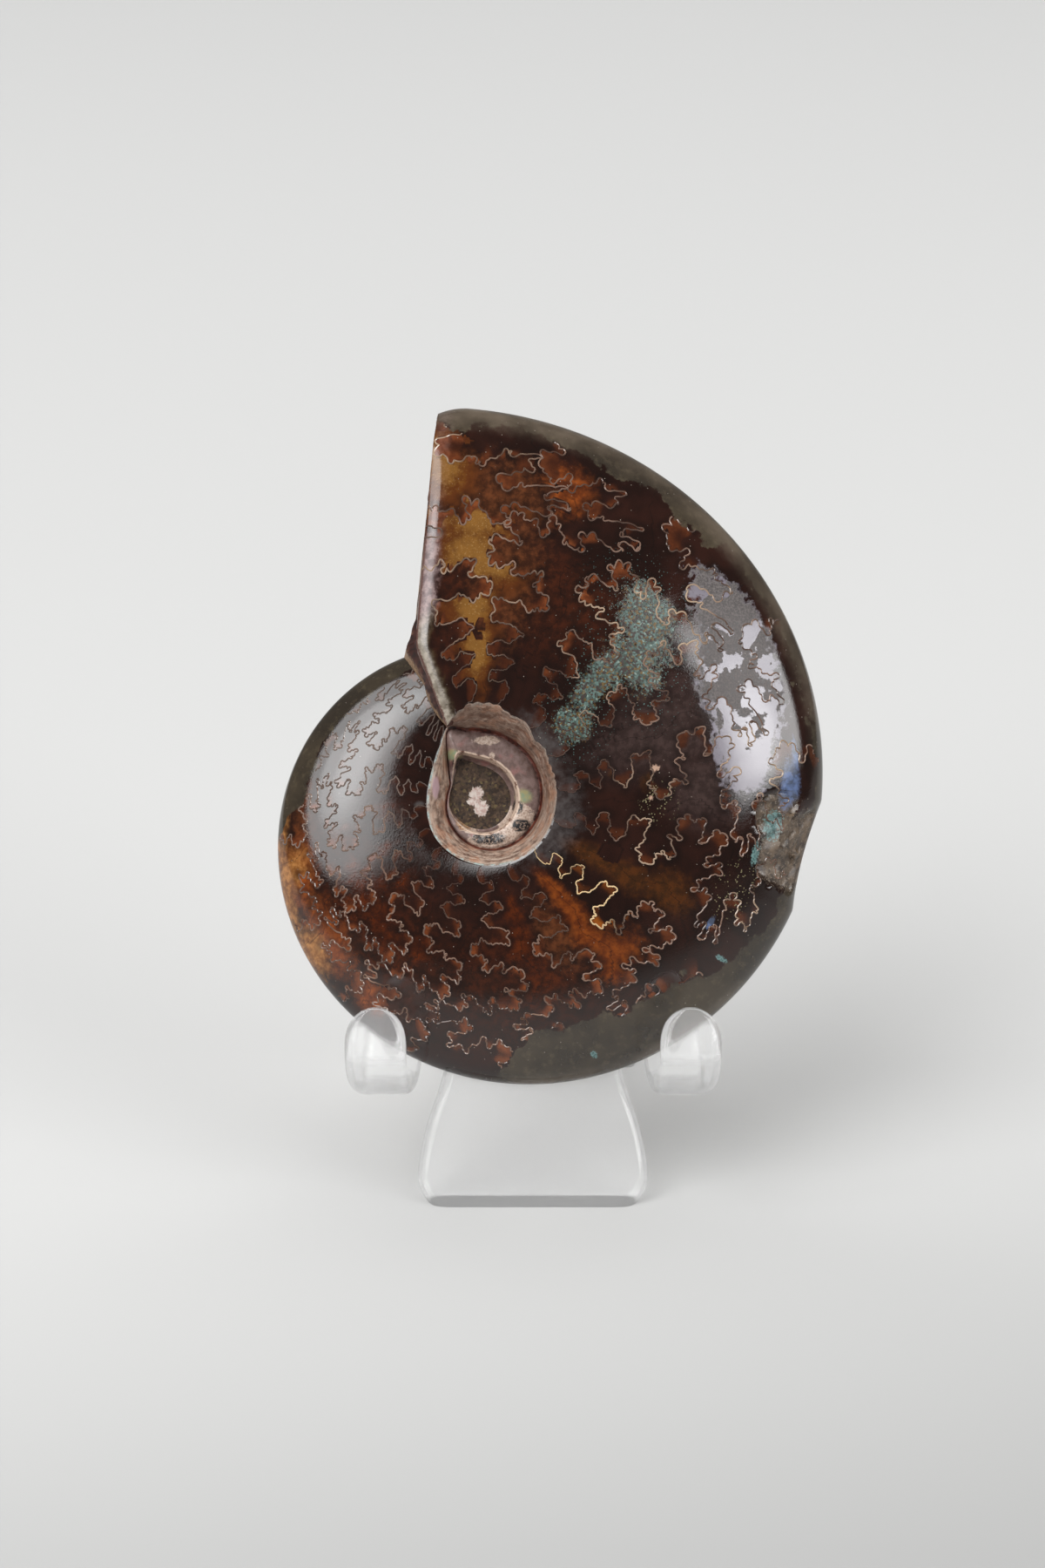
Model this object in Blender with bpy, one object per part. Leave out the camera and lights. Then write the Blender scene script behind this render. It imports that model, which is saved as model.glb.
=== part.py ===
"""A polished ammonite half resting on a one-piece bent acrylic easel.

Run with: blender --background --python part.py
Lengths are in millimetres up to the point where a mesh is made. World frame: +Z up, the viewer at -Y,
the origin on the surface that the easel stands on, under the middle of the whole object.
"""

import math

import bmesh
import bpy
from mathutils import Vector

MM = 0.001

# ---------------------------------------------------------------- driving dimensions
LEAN = math.radians(18.0)  # the easel's front sheet and the fossil lean back by this much
REST_GAP = 0.3  # between the fossil's sawn face and the sheet behind it

# The shell is a logarithmic spiral. Growth angles are in degrees, counted anticlockwise from +X.
EXPANSION = 2.38  # how many times larger everything is after one whole turn
MOUTH_ANGLE = 457.6  # growth angle of the outer edge where the last whorl was sawn off
MOUTH_RADIUS = 45.65  # from the spiral's pole to that edge
MOUTH_HALF_WIDTH = 10.0  # thickness of the half shell at the mouth
FLANK_FULLNESS = 2.2  # a higher power keeps the flank flatter further out
EDGE_ROUNDING = 0.53  # 0.5 would be a true half ellipse at the outer edge
SHOULDER_DIP = 0.05  # the flank falls by this share at the navel's edge
SHOULDER_SPAN = 0.1  # within this share of its width
POLE_X = -4.5  # the pole's place on the easel's sheet, from its centre line
POLE_UP = 42.9  # and from the line where the sheet meets the surface

# Corners of the sawn mouth, from the pole: where it leaves the older whorl, and the rim that clasps it.
MOUTH_KNEE = (-8.17, 18.74)
CLASP_RIM = (-8.45, 21.5)
OLD_WHORL_ANGLE = 118.7  # growth angle at which the older whorl passes under the mouth

# The navel (umbilicus) has its own middle, a little off the pole. Its outlines are (angle, radius) pairs.
NAVEL_MIDDLE = (-1.44, 1.73)
NAVEL_EDGE = [
    (112.6, 8.75), (132, 6.9), (155, 5.9), (180, 5.62), (219, 6.05), (250, 6.4), (280, 6.95),
    (310, 7.6), (340, 8.17), (365, 8.5), (400, 9.0), (425, 10.0), (447, 10.7), (462, 10.1),
]
SEAM = [
    (112.6, 8.75), (122, 6.6), (132, 5.0), (146, 3.75), (165, 3.5), (190, 3.6), (225, 4.0),
    (255, 4.6), (285, 5.35), (315, 6.0), (345, 6.6), (370, 7.0), (405, 7.5), (440, 7.85), (460, 8.1),
]
PIT_EDGE = [
    (112.6, 4.9), (130, 4.1), (146, 3.5), (165, 3.3), (190, 3.2), (225, 2.9), (270, 2.95),
    (315, 3.2), (360, 3.5), (405, 3.7), (450, 4.15),
]
PIT_LEVEL = 1.4  # height of the rough stone that fills the first whorls
BAND_SWELL = 0.05  # how far the older whorl's band bulges, as a share of its height
BAND_FALL = 0.7  # how far across that band it starts to drop into the pit
WALL_ROUNDING = 1.4  # above 1, the navel's wall steepens downwards
SEAM_LIFT_SPAN = 12.0  # degrees over which the seam climbs to the flank where the last whorl begins

# A chip has flattened the outer edge on the right.
CHIP_ANGLE = 351.5
CHIP_HALF_SPAN = 11.0  # degrees
CHIP_DEPTH = 1.0
CHIP_FROM = 0.8  # how far across the flank it begins

# The easel is one sheet, cut, bent warm, with its edges melted round.
SHEET = 3.2
EDGE_INSET = 2.3  # a line of points this far inside each cut edge keeps the faces flat
FOOT_OUTLINE = [  # half widths at heights up the sheet; the first is trimmed off at the surface
    (-2.5, 8.6), (0.5, 11.9), (2.4, 12.9), (4.6, 12.75), (6.7, 12.4), (8.9, 11.9), (11.0, 11.2),
    (14.0, 10.1), (17.0, 9.6), (21.0, 9.4), (26.0, 9.4),
]
SLOT_END = 31.0  # the two slots that free the hook strips stop here, up the sheet
STRIP_WIDTH = 6.85
STRIP_INNER_BACK = 11.6  # the strip's inner edge beside the foot, and further out at its tip
STRIP_INNER_TIP = 13.6
LEDGE_TOP = 15.5  # height up the sheet of the ledge that the fossil stands on, where it leaves the sheet
LEDGE_RISE = math.radians(11.0)  # it climbs a little towards the tip
HOOK_GAP = 8.5  # clear depth between the sheet and the upturned tip
TIP_TOP = 22.6
TIP_RADIUS = 3.3
TIP_TURNS = [math.radians(degrees) for degrees in (0, 28, 52, 70, 84)]
BEND_RADIUS = 3.0  # at the sheet's middle
SPLAY_START = -7.0  # the strips begin to splay this far above their first bend
SHOULDERS = [(36.0, 18.2), (41.0, 15.6)]  # half widths of the sheet above the slots, by height up it
PANEL_TOP = 47.0
PANEL_TOP_HALF_WIDTH = 12.2
FOLD_RADIUS = 4.2
LEG_SPREAD = math.radians(23.0)  # the back leg's angle from upright
FOLD_HALF_WIDTH = 11.0
LEG_FOOT_HALF_WIDTH = 12.5
LEG_ROWS = [0.3, 0.65, 0.93, 1.06]  # shares of the leg's length; the last is trimmed off at the surface
TRIMMER_SIZE = (200.0, 200.0, 40.0)

# ---------------------------------------------------------------- resolution
TURN_STEPS = 120
FLANK_STEPS = 12
WALL_STEPS = 2
BAND_STEPS = 4
PIT_STEPS = 2
FOLD_STEPS = 4


def clear_scene():
    for obj in list(bpy.data.objects):
        bpy.data.objects.remove(obj)


def finish_material(name, colour, roughness, metallic=0.0, transmission=0.0, ior=1.5):
    material = bpy.data.materials.new(name)
    material.use_nodes = True
    shader = material.node_tree.nodes["Principled BSDF"]
    shader.inputs["Base Color"].default_value = (*colour, 1.0)
    shader.inputs["Roughness"].default_value = roughness
    shader.inputs["Metallic"].default_value = metallic
    shader.inputs["Transmission Weight"].default_value = transmission
    shader.inputs["IOR"].default_value = ior
    return material


# ---------------------------------------------------------------- the shell's shape
def spiral(size_at_mouth, angle):
    """A size that grows with the spiral, at this growth angle."""
    return size_at_mouth * EXPANSION ** ((angle - MOUTH_ANGLE) / 360.0)


def around(outline, angle):
    """Radius of a closed outline at an angle, smooth through its (angle, radius) pairs."""
    first = outline[0][0]
    angle = first + (angle - first) % 360.0
    turns = [[(a + turn, r) for a, r in outline] for turn in (-360.0, 0.0, 360.0)]
    knots = [turns[0][-1], *turns[1], *turns[2][:2]]
    k = max(i for i in range(1, len(outline) + 1) if knots[i][0] <= angle + 1e-9)
    (a0, r0), (a1, r1), (a2, r2), (a3, r3) = knots[k - 1 : k + 3]
    t = (angle - a1) / (a2 - a1)
    slope1 = (r2 - r0) / (a2 - a0) * (a2 - a1)
    slope2 = (r3 - r1) / (a3 - a1) * (a2 - a1)
    return (
        (2 * t**3 - 3 * t**2 + 1) * r1
        + (t**3 - 2 * t**2 + t) * slope1
        + (3 * t**2 - 2 * t**3) * r2
        + (t**3 - t**2) * slope2
    )


def polar(middle, radius, angle):
    turn = math.radians(angle)
    return middle[0] + radius * math.cos(turn), middle[1] + radius * math.sin(turn)


def venter(angle, share=1.0):
    """The shell's outer edge, set in where it is chipped for points this far across the flank."""
    across = max(0.0, 1.0 - ((angle - CHIP_ANGLE) / CHIP_HALF_SPAN) ** 2)
    chip = CHIP_DEPTH * across * smooth_step(CHIP_FROM, 1.0, share)
    return polar((0.0, 0.0), spiral(MOUTH_RADIUS, angle) - chip, angle)


def navel_edge(angle):
    return polar(NAVEL_MIDDLE, around(NAVEL_EDGE, angle), angle)


def on_flank(angle, share):
    """Plan position on the flank, from the navel's edge (share 0) to the outer edge (share 1)."""
    (x0, z0), (x1, z1) = navel_edge(angle), venter(angle, share)
    return x0 + share * (x1 - x0), z0 + share * (z1 - z0)


def flank_height(angle, share):
    """Height above the sawn face: a rounded shoulder, a gently crowned flank and a round outer edge."""
    crown = max(0.0, 1.0 - share**FLANK_FULLNESS) ** EDGE_ROUNDING
    shoulder = 1.0 - SHOULDER_DIP * max(0.0, 1.0 - share / SHOULDER_SPAN) ** 2
    return spiral(MOUTH_HALF_WIDTH, angle) * crown * shoulder


def beyond_mouth(x, z):
    """Below zero once a plan position has passed the sawn mouth."""
    knee_x, knee_z = MOUTH_KNEE
    other_x, other_z = venter(MOUTH_ANGLE) if z > knee_z else navel_edge(MOUTH_ANGLE + 15.0)
    return x - knee_x - (other_x - knee_x) * (z - knee_z) / (other_z - knee_z)


def mouth_angle_at(share):
    """Growth angle at which this line along the flank reaches the sawn mouth."""
    low, high = MOUTH_ANGLE - 30.0, MOUTH_ANGLE + 25.0
    for _ in range(40):
        middle = (low + high) / 2
        if beyond_mouth(*on_flank(middle, share)) > 0:
            low = middle
        else:
            high = middle
    return low


def smooth_step(low, high, value):
    t = min(1.0, max(0.0, (value - low) / (high - low)))
    return t * t * (3 - 2 * t)


def shoulder_height(angle):
    return flank_height(angle, 0.0)


def seam_height(angle, start):
    """Height of the seam, where the last whorl's inner wall meets the whorl before it."""
    low = shoulder_height(angle - 360.0)
    rise = math.exp(-(((angle - start) / SEAM_LIFT_SPAN) ** 2))
    return low + (shoulder_height(angle) - low) * rise


def navel_point(angle, start, zone, t):
    """A point of the navel: zone 0 is its wall, 1 the band of the older whorl, 2 the filled pit."""
    edge, seam, pit = (around(o, angle) for o in (NAVEL_EDGE, SEAM, PIT_EDGE))
    top, foot = shoulder_height(angle), seam_height(angle, start)
    if zone == 0:
        height = foot + (top - foot) * (1 - t**WALL_ROUNDING)
        return polar(NAVEL_MIDDLE, edge + (seam - edge) * t, angle), height
    if zone == 1:
        swell = BAND_SWELL * foot * math.sin(math.pi * t)
        height = foot + swell - (foot - PIT_LEVEL) * smooth_step(BAND_FALL, 1.0, t)
        return polar(NAVEL_MIDDLE, seam + (pit - seam) * t, angle), height
    return polar(NAVEL_MIDDLE, pit * (1 - t), angle), PIT_LEVEL


def zip_strips(upper, lower):
    """Triangles between two rows of vertices that share their first and last one."""
    faces, i, j = [], 0, 0
    while i < len(upper) - 1 or j < len(lower) - 1:
        ahead = i < len(upper) - 1 and (
            j == len(lower) - 1
            or (upper[i + 1][1] - lower[j][1]).length <= (upper[i][1] - lower[j + 1][1]).length
        )
        if ahead:
            faces.append((upper[i][0], upper[i + 1][0], lower[j][0]))
            i += 1
        else:
            faces.append((upper[i][0], lower[j + 1][0], lower[j][0]))
            j += 1
    return [f for f in faces if len(set(f)) == 3]


def fossil_mesh():
    """The half shell as one closed mesh, its sawn face at y = 0 and its flank towards -Y."""
    points, faces = [], []

    def add(plan, height):
        points.append(Vector((plan[0], -height, plan[1])))
        return len(points) - 1

    mouth_start = mouth_angle_at(0.0)
    start = mouth_start - 360.0
    shares = [math.sin(math.pi / 2 * i / FLANK_STEPS) ** 1.15 for i in range(FLANK_STEPS + 1)]
    first_angles = [start + share * (OLD_WHORL_ANGLE - start) for share in shares]
    last_angles = [mouth_angle_at(share) if share < 1.0 else MOUTH_ANGLE for share in shares]

    columns = []
    for step in range(TURN_STEPS + 1):
        u = step / TURN_STEPS
        column = []
        for zone, steps in ((2, PIT_STEPS), (1, BAND_STEPS), (0, WALL_STEPS)):
            angle = first_angles[0] + u * (last_angles[0] - first_angles[0])
            for k in range(steps):
                plan, height = navel_point(angle, start, zone, 1.0 - k / steps)
                column.append(add(plan, height))
        for share, first, last in zip(shares, first_angles, last_angles, strict=True):
            angle = first + u * (last - first)
            column.append(add(on_flank(angle, share), flank_height(angle, share)))
        columns.append(column)
    for left, right in zip(columns, columns[1:], strict=False):
        for k in range(len(left) - 1):
            faces.append((left[k], right[k], right[k + 1], left[k + 1]))

    # The sawn mouth: from the last column down to the older whorl and the sawn face.
    shoulder = PIT_STEPS + BAND_STEPS + WALL_STEPS
    seam_row = PIT_STEPS + BAND_STEPS
    rim = add(CLASP_RIM, 0.0)
    upper = columns[-1][shoulder:]
    wall = columns[-1][seam_row:shoulder][::-1]
    lower = [upper[0], *wall, *columns[0][shoulder + 1 :], rim, upper[-1]]
    faces += zip_strips([(i, points[i]) for i in upper], [(i, points[i]) for i in lower])
    faces.append((*[column[-1] for column in columns], rim))
    return points, faces


def solid_from(name, points, faces, merge=1e-4):
    mesh = bpy.data.meshes.new(name)
    mesh.from_pydata([p * MM for p in points], [], faces)
    shape = bmesh.new()
    shape.from_mesh(mesh)
    bmesh.ops.remove_doubles(shape, verts=shape.verts, dist=merge * MM)
    bmesh.ops.dissolve_degenerate(shape, edges=shape.edges, dist=merge * MM)
    bmesh.ops.recalc_face_normals(shape, faces=shape.faces)
    shape.to_mesh(mesh)
    shape.free()
    obj = bpy.data.objects.new(name, mesh)
    bpy.context.collection.objects.link(obj)
    return obj


def make_fossil():
    fossil = solid_from("ammonite_half", *fossil_mesh())
    fossil.data.shade_smooth()
    fossil.data.set_sharp_from_angle(angle=math.radians(40))
    fossil.data.materials.append(finish_material("polished_fossil", (0.075, 0.032, 0.02), 0.14))
    return fossil


# ---------------------------------------------------------------- the easel's shape
def at_height(table, height):
    """Linear reading of a (height, value) table."""
    for (h0, v0), (h1, v1) in zip(table, table[1:], strict=False):
        if height <= h1:
            return v0 + (v1 - v0) * max(0.0, (height - h0) / (h1 - h0))
    return table[-1][1]


def sheet_line(up):
    """Middle of the sheet's thickness in the upright plane, (back, up), and its front-facing normal."""
    along = (math.sin(LEAN), math.cos(LEAN))
    front = (-math.cos(LEAN), math.sin(LEAN))
    return (up * along[0] - SHEET / 2 * front[0], up * along[1] - SHEET / 2 * front[1]), front


def fold_line(turn):
    """The fold at the top of the sheet, after turning this far from the sheet's direction."""
    (y, z), front = sheet_line(PANEL_TOP)
    middle = (y - FOLD_RADIUS * front[0], z - FOLD_RADIUS * front[1])
    out = LEAN + turn
    normal = (-math.cos(out), math.sin(out))
    return (middle[0] + FOLD_RADIUS * normal[0], middle[1] + FOLD_RADIUS * normal[1]), normal


def leg_line(down):
    """The back leg, this far below the fold's end."""
    (y, z), normal = fold_line(math.pi - LEAN - LEG_SPREAD)
    return (y + down * math.sin(LEG_SPREAD), z - down * math.cos(LEG_SPREAD)), normal


def hook_bends():
    """The hook strip's stretches, each (length, turn): a bend, the ledge, a bend and the tip."""
    first, second = math.pi / 2 + LEDGE_RISE, math.pi / 2 - LEDGE_RISE
    ledge = HOOK_GAP + SHEET - 2 * BEND_RADIUS
    return [(BEND_RADIUS * first, first), (ledge, 0.0), (BEND_RADIUS * second, second), (math.inf, 0.0)]


def hook_line(travel):
    """A hook strip's middle, this far along from the start of its first bend."""
    out, up = -SHEET / 2, LEDGE_TOP - SHEET / 2 + BEND_RADIUS
    heading = 0.0  # from straight down the sheet, turning forward
    if travel < 0:
        up -= travel
    for length, turn in hook_bends():
        part = min(max(travel, 0.0), length)
        if turn:
            end = heading + part / BEND_RADIUS
            out += BEND_RADIUS * (math.cos(heading) - math.cos(end))
            up -= BEND_RADIUS * (math.sin(end) - math.sin(heading))
            heading = end
        else:
            out += part * math.sin(heading)
            up -= part * math.cos(heading)
        travel -= part
        if travel <= 0:
            break

    def lean(forward, above):
        y = above * math.sin(LEAN) - forward * math.cos(LEAN)
        return y, above * math.cos(LEAN) + forward * math.sin(LEAN)

    return lean(out, up), lean(math.cos(heading), math.sin(heading))


def tip_travel():
    """How far along the strip its tip ends."""
    bends = sum(length for length, _ in hook_bends()[:3])
    (y, z), _ = hook_line(bends)
    up = y * math.sin(LEAN) + z * math.cos(LEAN)
    return bends, bends + TIP_TOP - up


class Sheet:
    """Builds a bent sheet as a cage of quads: rows of points across it, each point on both faces."""

    def __init__(self):
        self.points, self.faces, self.middle = [], [], []

    def row(self, line, across):
        (y, z), (ny, nz) = line
        made = []
        for x in across:
            pair = []
            for side in (SHEET / 2, -SHEET / 2):
                pair.append(len(self.points))
                self.points.append(Vector((x, y + side * ny, z + side * nz)))
            made.append(tuple(pair))
        return made

    def patch(self, lower, upper):
        """Both faces of the sheet between two rows."""
        pairs = list(zip(lower, upper, strict=True))
        for (a, c), (b, d) in zip(pairs, pairs[1:], strict=False):
            self.faces.append((a[0], b[0], d[0], c[0]))
            self.faces.append((a[1], c[1], d[1], b[1]))
            self.middle += [(a, b), (d, c), (b, d), (c, a)]

    def close_rim(self):
        """Joins the two faces wherever a patch has no neighbour."""
        sides = set(self.middle)
        for a, b in self.middle:
            if (b, a) not in sides:
                self.faces.append((b[0], a[0], a[1], b[1]))


def edge_columns(inner, outer, inside=EDGE_INSET):
    """Across a strip: its two edges, each with a line of points just inside that keeps the face flat."""
    return [inner, inner + inside, outer - inside, outer]


def easel_mesh():
    sheet = Sheet()
    strip_outer = STRIP_INNER_BACK + STRIP_WIDTH
    strip = edge_columns(STRIP_INNER_BACK, strip_outer)

    def foot_across(up):
        half = at_height(FOOT_OUTLINE, up)
        return [-half, EDGE_INSET - half, 0.0, half - EDGE_INSET, half]

    def whole_across(half):
        every = [*[-x for x in reversed(strip)], *foot_across(SLOT_END), *strip]
        return [x * half / strip_outer for x in every]

    # The foot, from below the surface up to the slots' ends.
    rows = [sheet.row(sheet_line(up), foot_across(up)) for up, _ in FOOT_OUTLINE]
    slot_row = sheet.row(sheet_line(SLOT_END), whole_across(strip_outer))
    rows.append(slot_row[4:9])
    for lower, upper in zip(rows, rows[1:], strict=False):
        sheet.patch(lower, upper)

    # The two hook strips, bent forward into a ledge and up into a round tip.
    (bend, _), (ledge, _), (second, _), _ = hook_bends()
    upright, end = tip_travel()
    travels = [SPLAY_START, -EDGE_INSET, 0.0, bend / 2, bend]
    travels += [bend + ledge / 2, bend + ledge, upright - second / 2, upright]
    tip_rows = [(end - TIP_RADIUS * (1 - math.sin(turn)), math.cos(turn)) for turn in TIP_TURNS]
    for side, attach in ((-1, slot_row[3::-1]), (1, slot_row[9:])):
        last = attach
        for travel, width in [(travel, 1.0) for travel in travels] + tip_rows:
            splay = (STRIP_INNER_TIP - STRIP_INNER_BACK) * smooth_step(SPLAY_START, upright, travel)
            centre = STRIP_INNER_BACK + splay + STRIP_WIDTH / 2
            half = STRIP_WIDTH / 2 * width
            across = edge_columns(centre - half, centre + half, min(EDGE_INSET, 0.6 * half))
            row = sheet.row(hook_line(travel), [side * x for x in across])
            sheet.patch(*((row, last) if side == 1 else (last, row)))
            last = row

    # The sheet above the slots, its fold and the back leg.
    leg_length = leg_line(0.0)[0][1] / math.cos(LEG_SPREAD)
    turn = math.pi - LEAN - LEG_SPREAD
    lines = [(sheet_line(up), half) for up, half in SHOULDERS]
    lines.append((sheet_line(PANEL_TOP), PANEL_TOP_HALF_WIDTH))
    lines += [(fold_line(turn * k / FOLD_STEPS), FOLD_HALF_WIDTH) for k in range(1, FOLD_STEPS + 1)]
    for share in LEG_ROWS:
        half = FOLD_HALF_WIDTH + (LEG_FOOT_HALF_WIDTH - FOLD_HALF_WIDTH) * share
        lines.append((leg_line(share * leg_length), half))
    last = slot_row
    for line, half in lines:
        row = sheet.row(line, whole_across(half))
        sheet.patch(last, row)
        last = row
    sheet.close_rim()
    return sheet.points, sheet.faces


def make_surface_trimmer():
    """A block under the surface: it trims both feet flat."""
    mesh = bpy.data.meshes.new("surface_trimmer")
    shape = bmesh.new()
    bmesh.ops.create_cube(shape, size=1.0)
    bmesh.ops.scale(shape, vec=Vector(TRIMMER_SIZE) * MM, verts=shape.verts)
    bmesh.ops.translate(shape, vec=Vector((0.0, 0.0, -TRIMMER_SIZE[2] / 2 * MM)), verts=shape.verts)
    shape.to_mesh(mesh)
    shape.free()
    trimmer = bpy.data.objects.new("surface_trimmer", mesh)
    bpy.context.collection.objects.link(trimmer)
    trimmer.hide_render = True
    trimmer.display_type = "WIRE"
    return trimmer


def make_easel():
    easel = solid_from("acrylic_easel", *easel_mesh())
    rounding = easel.modifiers.new("melted_edges", "SUBSURF")
    rounding.levels = rounding.render_levels = 1
    trimmer = make_surface_trimmer()
    trim = easel.modifiers.new("flat_feet", "BOOLEAN")
    trim.operation = "DIFFERENCE"
    trim.object = trimmer
    easel.data.shade_smooth()
    easel.data.set_sharp_from_angle(angle=math.radians(60))
    easel.data.materials.append(
        finish_material("clear_acrylic", (0.98, 0.985, 0.98), 0.03, transmission=1.0, ior=1.49)
    )
    return easel, trimmer


def bounds_of(objects):
    graph = bpy.context.evaluated_depsgraph_get()
    corners = []
    for obj in objects:
        made = obj.evaluated_get(graph)
        corners += [made.matrix_world @ vertex.co for vertex in made.data.vertices]
    low = Vector([min(c[k] for c in corners) for k in range(3)])
    high = Vector([max(c[k] for c in corners) for k in range(3)])
    return low, high


def main():
    clear_scene()
    bench = bpy.data.objects.new("middle_of_the_set", None)
    bpy.context.collection.objects.link(bench)
    fossil = make_fossil()
    easel, trimmer = make_easel()
    fossil.rotation_euler = (-LEAN, 0.0, 0.0)
    fossil.location = (
        POLE_X * MM,
        (POLE_UP * math.sin(LEAN) - REST_GAP * math.cos(LEAN)) * MM,
        (POLE_UP * math.cos(LEAN) + REST_GAP * math.sin(LEAN)) * MM,
    )
    for obj in (fossil, easel, trimmer):
        obj.parent = bench
    bpy.context.view_layer.update()
    low, high = bounds_of((fossil, easel))
    bench.location = (-(low.x + high.x) / 2, -(low.y + high.y) / 2, 0.0)
    bpy.context.view_layer.update()


main()
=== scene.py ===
# %% [markdown]
# # A polished ammonite half on a clear acrylic easel
#
# The subject is one half of an ammonite whose chambers are filled with brown calcite, as they are in many
# fossils from Madagascar. The coiled shell was sawn through its middle, and the natural, rounded side was
# ground and polished until the shell was gone and the walls between its chambers showed as frilled lines.
# It leans on a small easel that is cut and bent from one sheet of clear acrylic.
#
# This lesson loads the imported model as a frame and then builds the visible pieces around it: the shell by
# its own growth rule, the frilled lines by repeating one drawn line at the shell's own pace, the easel from
# its cutting plan, and then the finishes.

# %% Load the frame
import functools
import math

import bmesh
import bpy
import numpy as np
from mathutils import Matrix, Quaternion, Vector
from mathutils.kdtree import KDTree


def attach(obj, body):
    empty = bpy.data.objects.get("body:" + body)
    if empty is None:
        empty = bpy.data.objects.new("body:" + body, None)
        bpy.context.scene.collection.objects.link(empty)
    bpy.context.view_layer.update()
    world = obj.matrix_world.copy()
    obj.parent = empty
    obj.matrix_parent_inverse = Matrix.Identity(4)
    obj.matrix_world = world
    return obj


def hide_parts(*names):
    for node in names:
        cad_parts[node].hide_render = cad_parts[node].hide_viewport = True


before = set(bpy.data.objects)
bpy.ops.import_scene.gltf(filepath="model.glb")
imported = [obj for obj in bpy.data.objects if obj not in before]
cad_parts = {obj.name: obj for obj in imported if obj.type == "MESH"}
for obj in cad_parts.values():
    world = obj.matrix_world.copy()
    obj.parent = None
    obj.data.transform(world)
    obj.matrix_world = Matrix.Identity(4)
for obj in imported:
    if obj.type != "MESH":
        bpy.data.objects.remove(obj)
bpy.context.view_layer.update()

print("nodes:", sorted(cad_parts))

# %% [markdown]
# ## Small helpers
#
# Lengths are thought of in millimetres and turned to metres once. Colours are picked as the eye sees them,
# as sRGB hex values, and one function turns them into the linear light that a shader adds up. One more
# function adds any node: capitalised names are its sockets, small-letter names are its settings, and bare
# values go to its sockets in order. A node given as a value is linked from its first output. The kinds of
# node that are wanted most have names of their own here, with their settings.

# %% Helpers
MM = 0.001
MATH, VECTOR_MATH, ATTRIBUTE = "ShaderNodeMath", "ShaderNodeVectorMath", "GeometryNodeInputNamedAttribute"
NOISE, VORONOI, READ = "ShaderNodeTexNoise", "ShaderNodeTexVoronoi", "ShaderNodeAttribute"
SOFT = ("ShaderNodeMapRange", {"interpolation_type": "SMOOTHSTEP"})  # value, low, high: a soft threshold
LAYER = ("ShaderNodeMix", {"data_type": "RGBA"})  # mask, below, above: a colour laid over another
PLUS, MINUS, TIMES, OVER, TIMES_PLUS = [  # sums of numbers; the last is a product and a sum
    (MATH, {"operation": sum_name}) for sum_name in ("ADD", "SUBTRACT", "MULTIPLY", "DIVIDE", "MULTIPLY_ADD")
]
BOTH = TIMES  # one mask where two masks meet
STORE = ("GeometryNodeStoreNamedAttribute", {"data_type": "FLOAT", "domain": "POINT"})  # keeps a number
STORE_WAY = (STORE[0], {"data_type": "FLOAT_VECTOR", "domain": "POINT"})  # keeps a direction or a place


def paint(code):
    """An sRGB hex colour as linear light."""
    parts = [int(code[k : k + 2], 16) / 255 for k in (1, 3, 5)]
    return (*[c / 12.92 if c < 0.04045 else ((c + 0.055) / 1.055) ** 2.4 for c in parts], 1.0)


def feed(socket, value):
    """Gives a socket a plain value, a hex colour, or a link from a socket or from a node's first output."""
    if isinstance(value, bpy.types.Node):
        value = next(s for s in value.outputs if s.enabled)
    if isinstance(value, bpy.types.NodeSocket):
        socket.id_data.links.new(value, socket)
    elif isinstance(value, str) and value.startswith("#"):
        socket.default_value = paint(value)
    elif value is not None:
        socket.default_value = value


def add(tree, kind, *values, **named):
    """Adds a node; small-letter names are settings, capitalised ones sockets, bare values go in order."""
    kind, settings = kind if isinstance(kind, tuple) else (kind, {})
    made = tree.nodes.new(kind)
    for key, value in {**settings, **named}.items():
        if key[0].islower():
            setattr(made, key, value)
    open_sockets = [s for s in made.inputs if s.enabled]
    pairs = list(zip(open_sockets, values))
    pairs += [(made.inputs[key.replace("_", " ")], value) for key, value in named.items() if key[0].isupper()]
    for socket, value in pairs:
        feed(socket, value)
    return made


print("a middle grey of #808080 is", round(paint("#808080")[0], 3), "as linear light")


# %% An object, and a soft step
def put(name, data):
    """Puts a mesh, a lamp or a camera into the scene as an object."""
    obj = bpy.data.objects.new(name, data)
    bpy.context.scene.collection.objects.link(obj)
    return obj


def smooth_step(low, high, value):
    """0 at the low value, 1 at the high one, and a soft slope between them."""
    t = np.clip((value - low) / (high - low), 0.0, 1.0)
    return t * t * (3 - 2 * t)


print("a fifth of the way up, the soft step has reached", round(float(smooth_step(0.0, 1.0, 0.2)), 3))


# %% [markdown]
# ## Running a node tree
#
# A Geometry Nodes tree gets its named inputs from this table of names and values. The modifier's inputs are
# set by their identifiers before the object is evaluated, and the result is kept as a plain mesh with no
# modifier left on it.


# %% Make a tree and keep its result
SOCKETS = {
    float: "NodeSocketFloat", int: "NodeSocketInt", bpy.types.Object: "NodeSocketObject",
    bpy.types.Material: "NodeSocketMaterial"
}


def new_tree(name, inputs):
    """A tree with a mesh in and out and one named input for each size; returns it and its input node."""
    tree = bpy.data.node_groups.new(name, "GeometryNodeTree")
    tree.interface.new_socket("Geometry", in_out="INPUT", socket_type="NodeSocketGeometry")
    tree.interface.new_socket("Geometry", in_out="OUTPUT", socket_type="NodeSocketGeometry")
    for key, value in inputs.items():
        kind = next(name for plain, name in SOCKETS.items() if isinstance(value, plain))
        tree.interface.new_socket(key, in_out="INPUT", socket_type=kind)
    return tree, add(tree, "NodeGroupInput")


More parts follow.
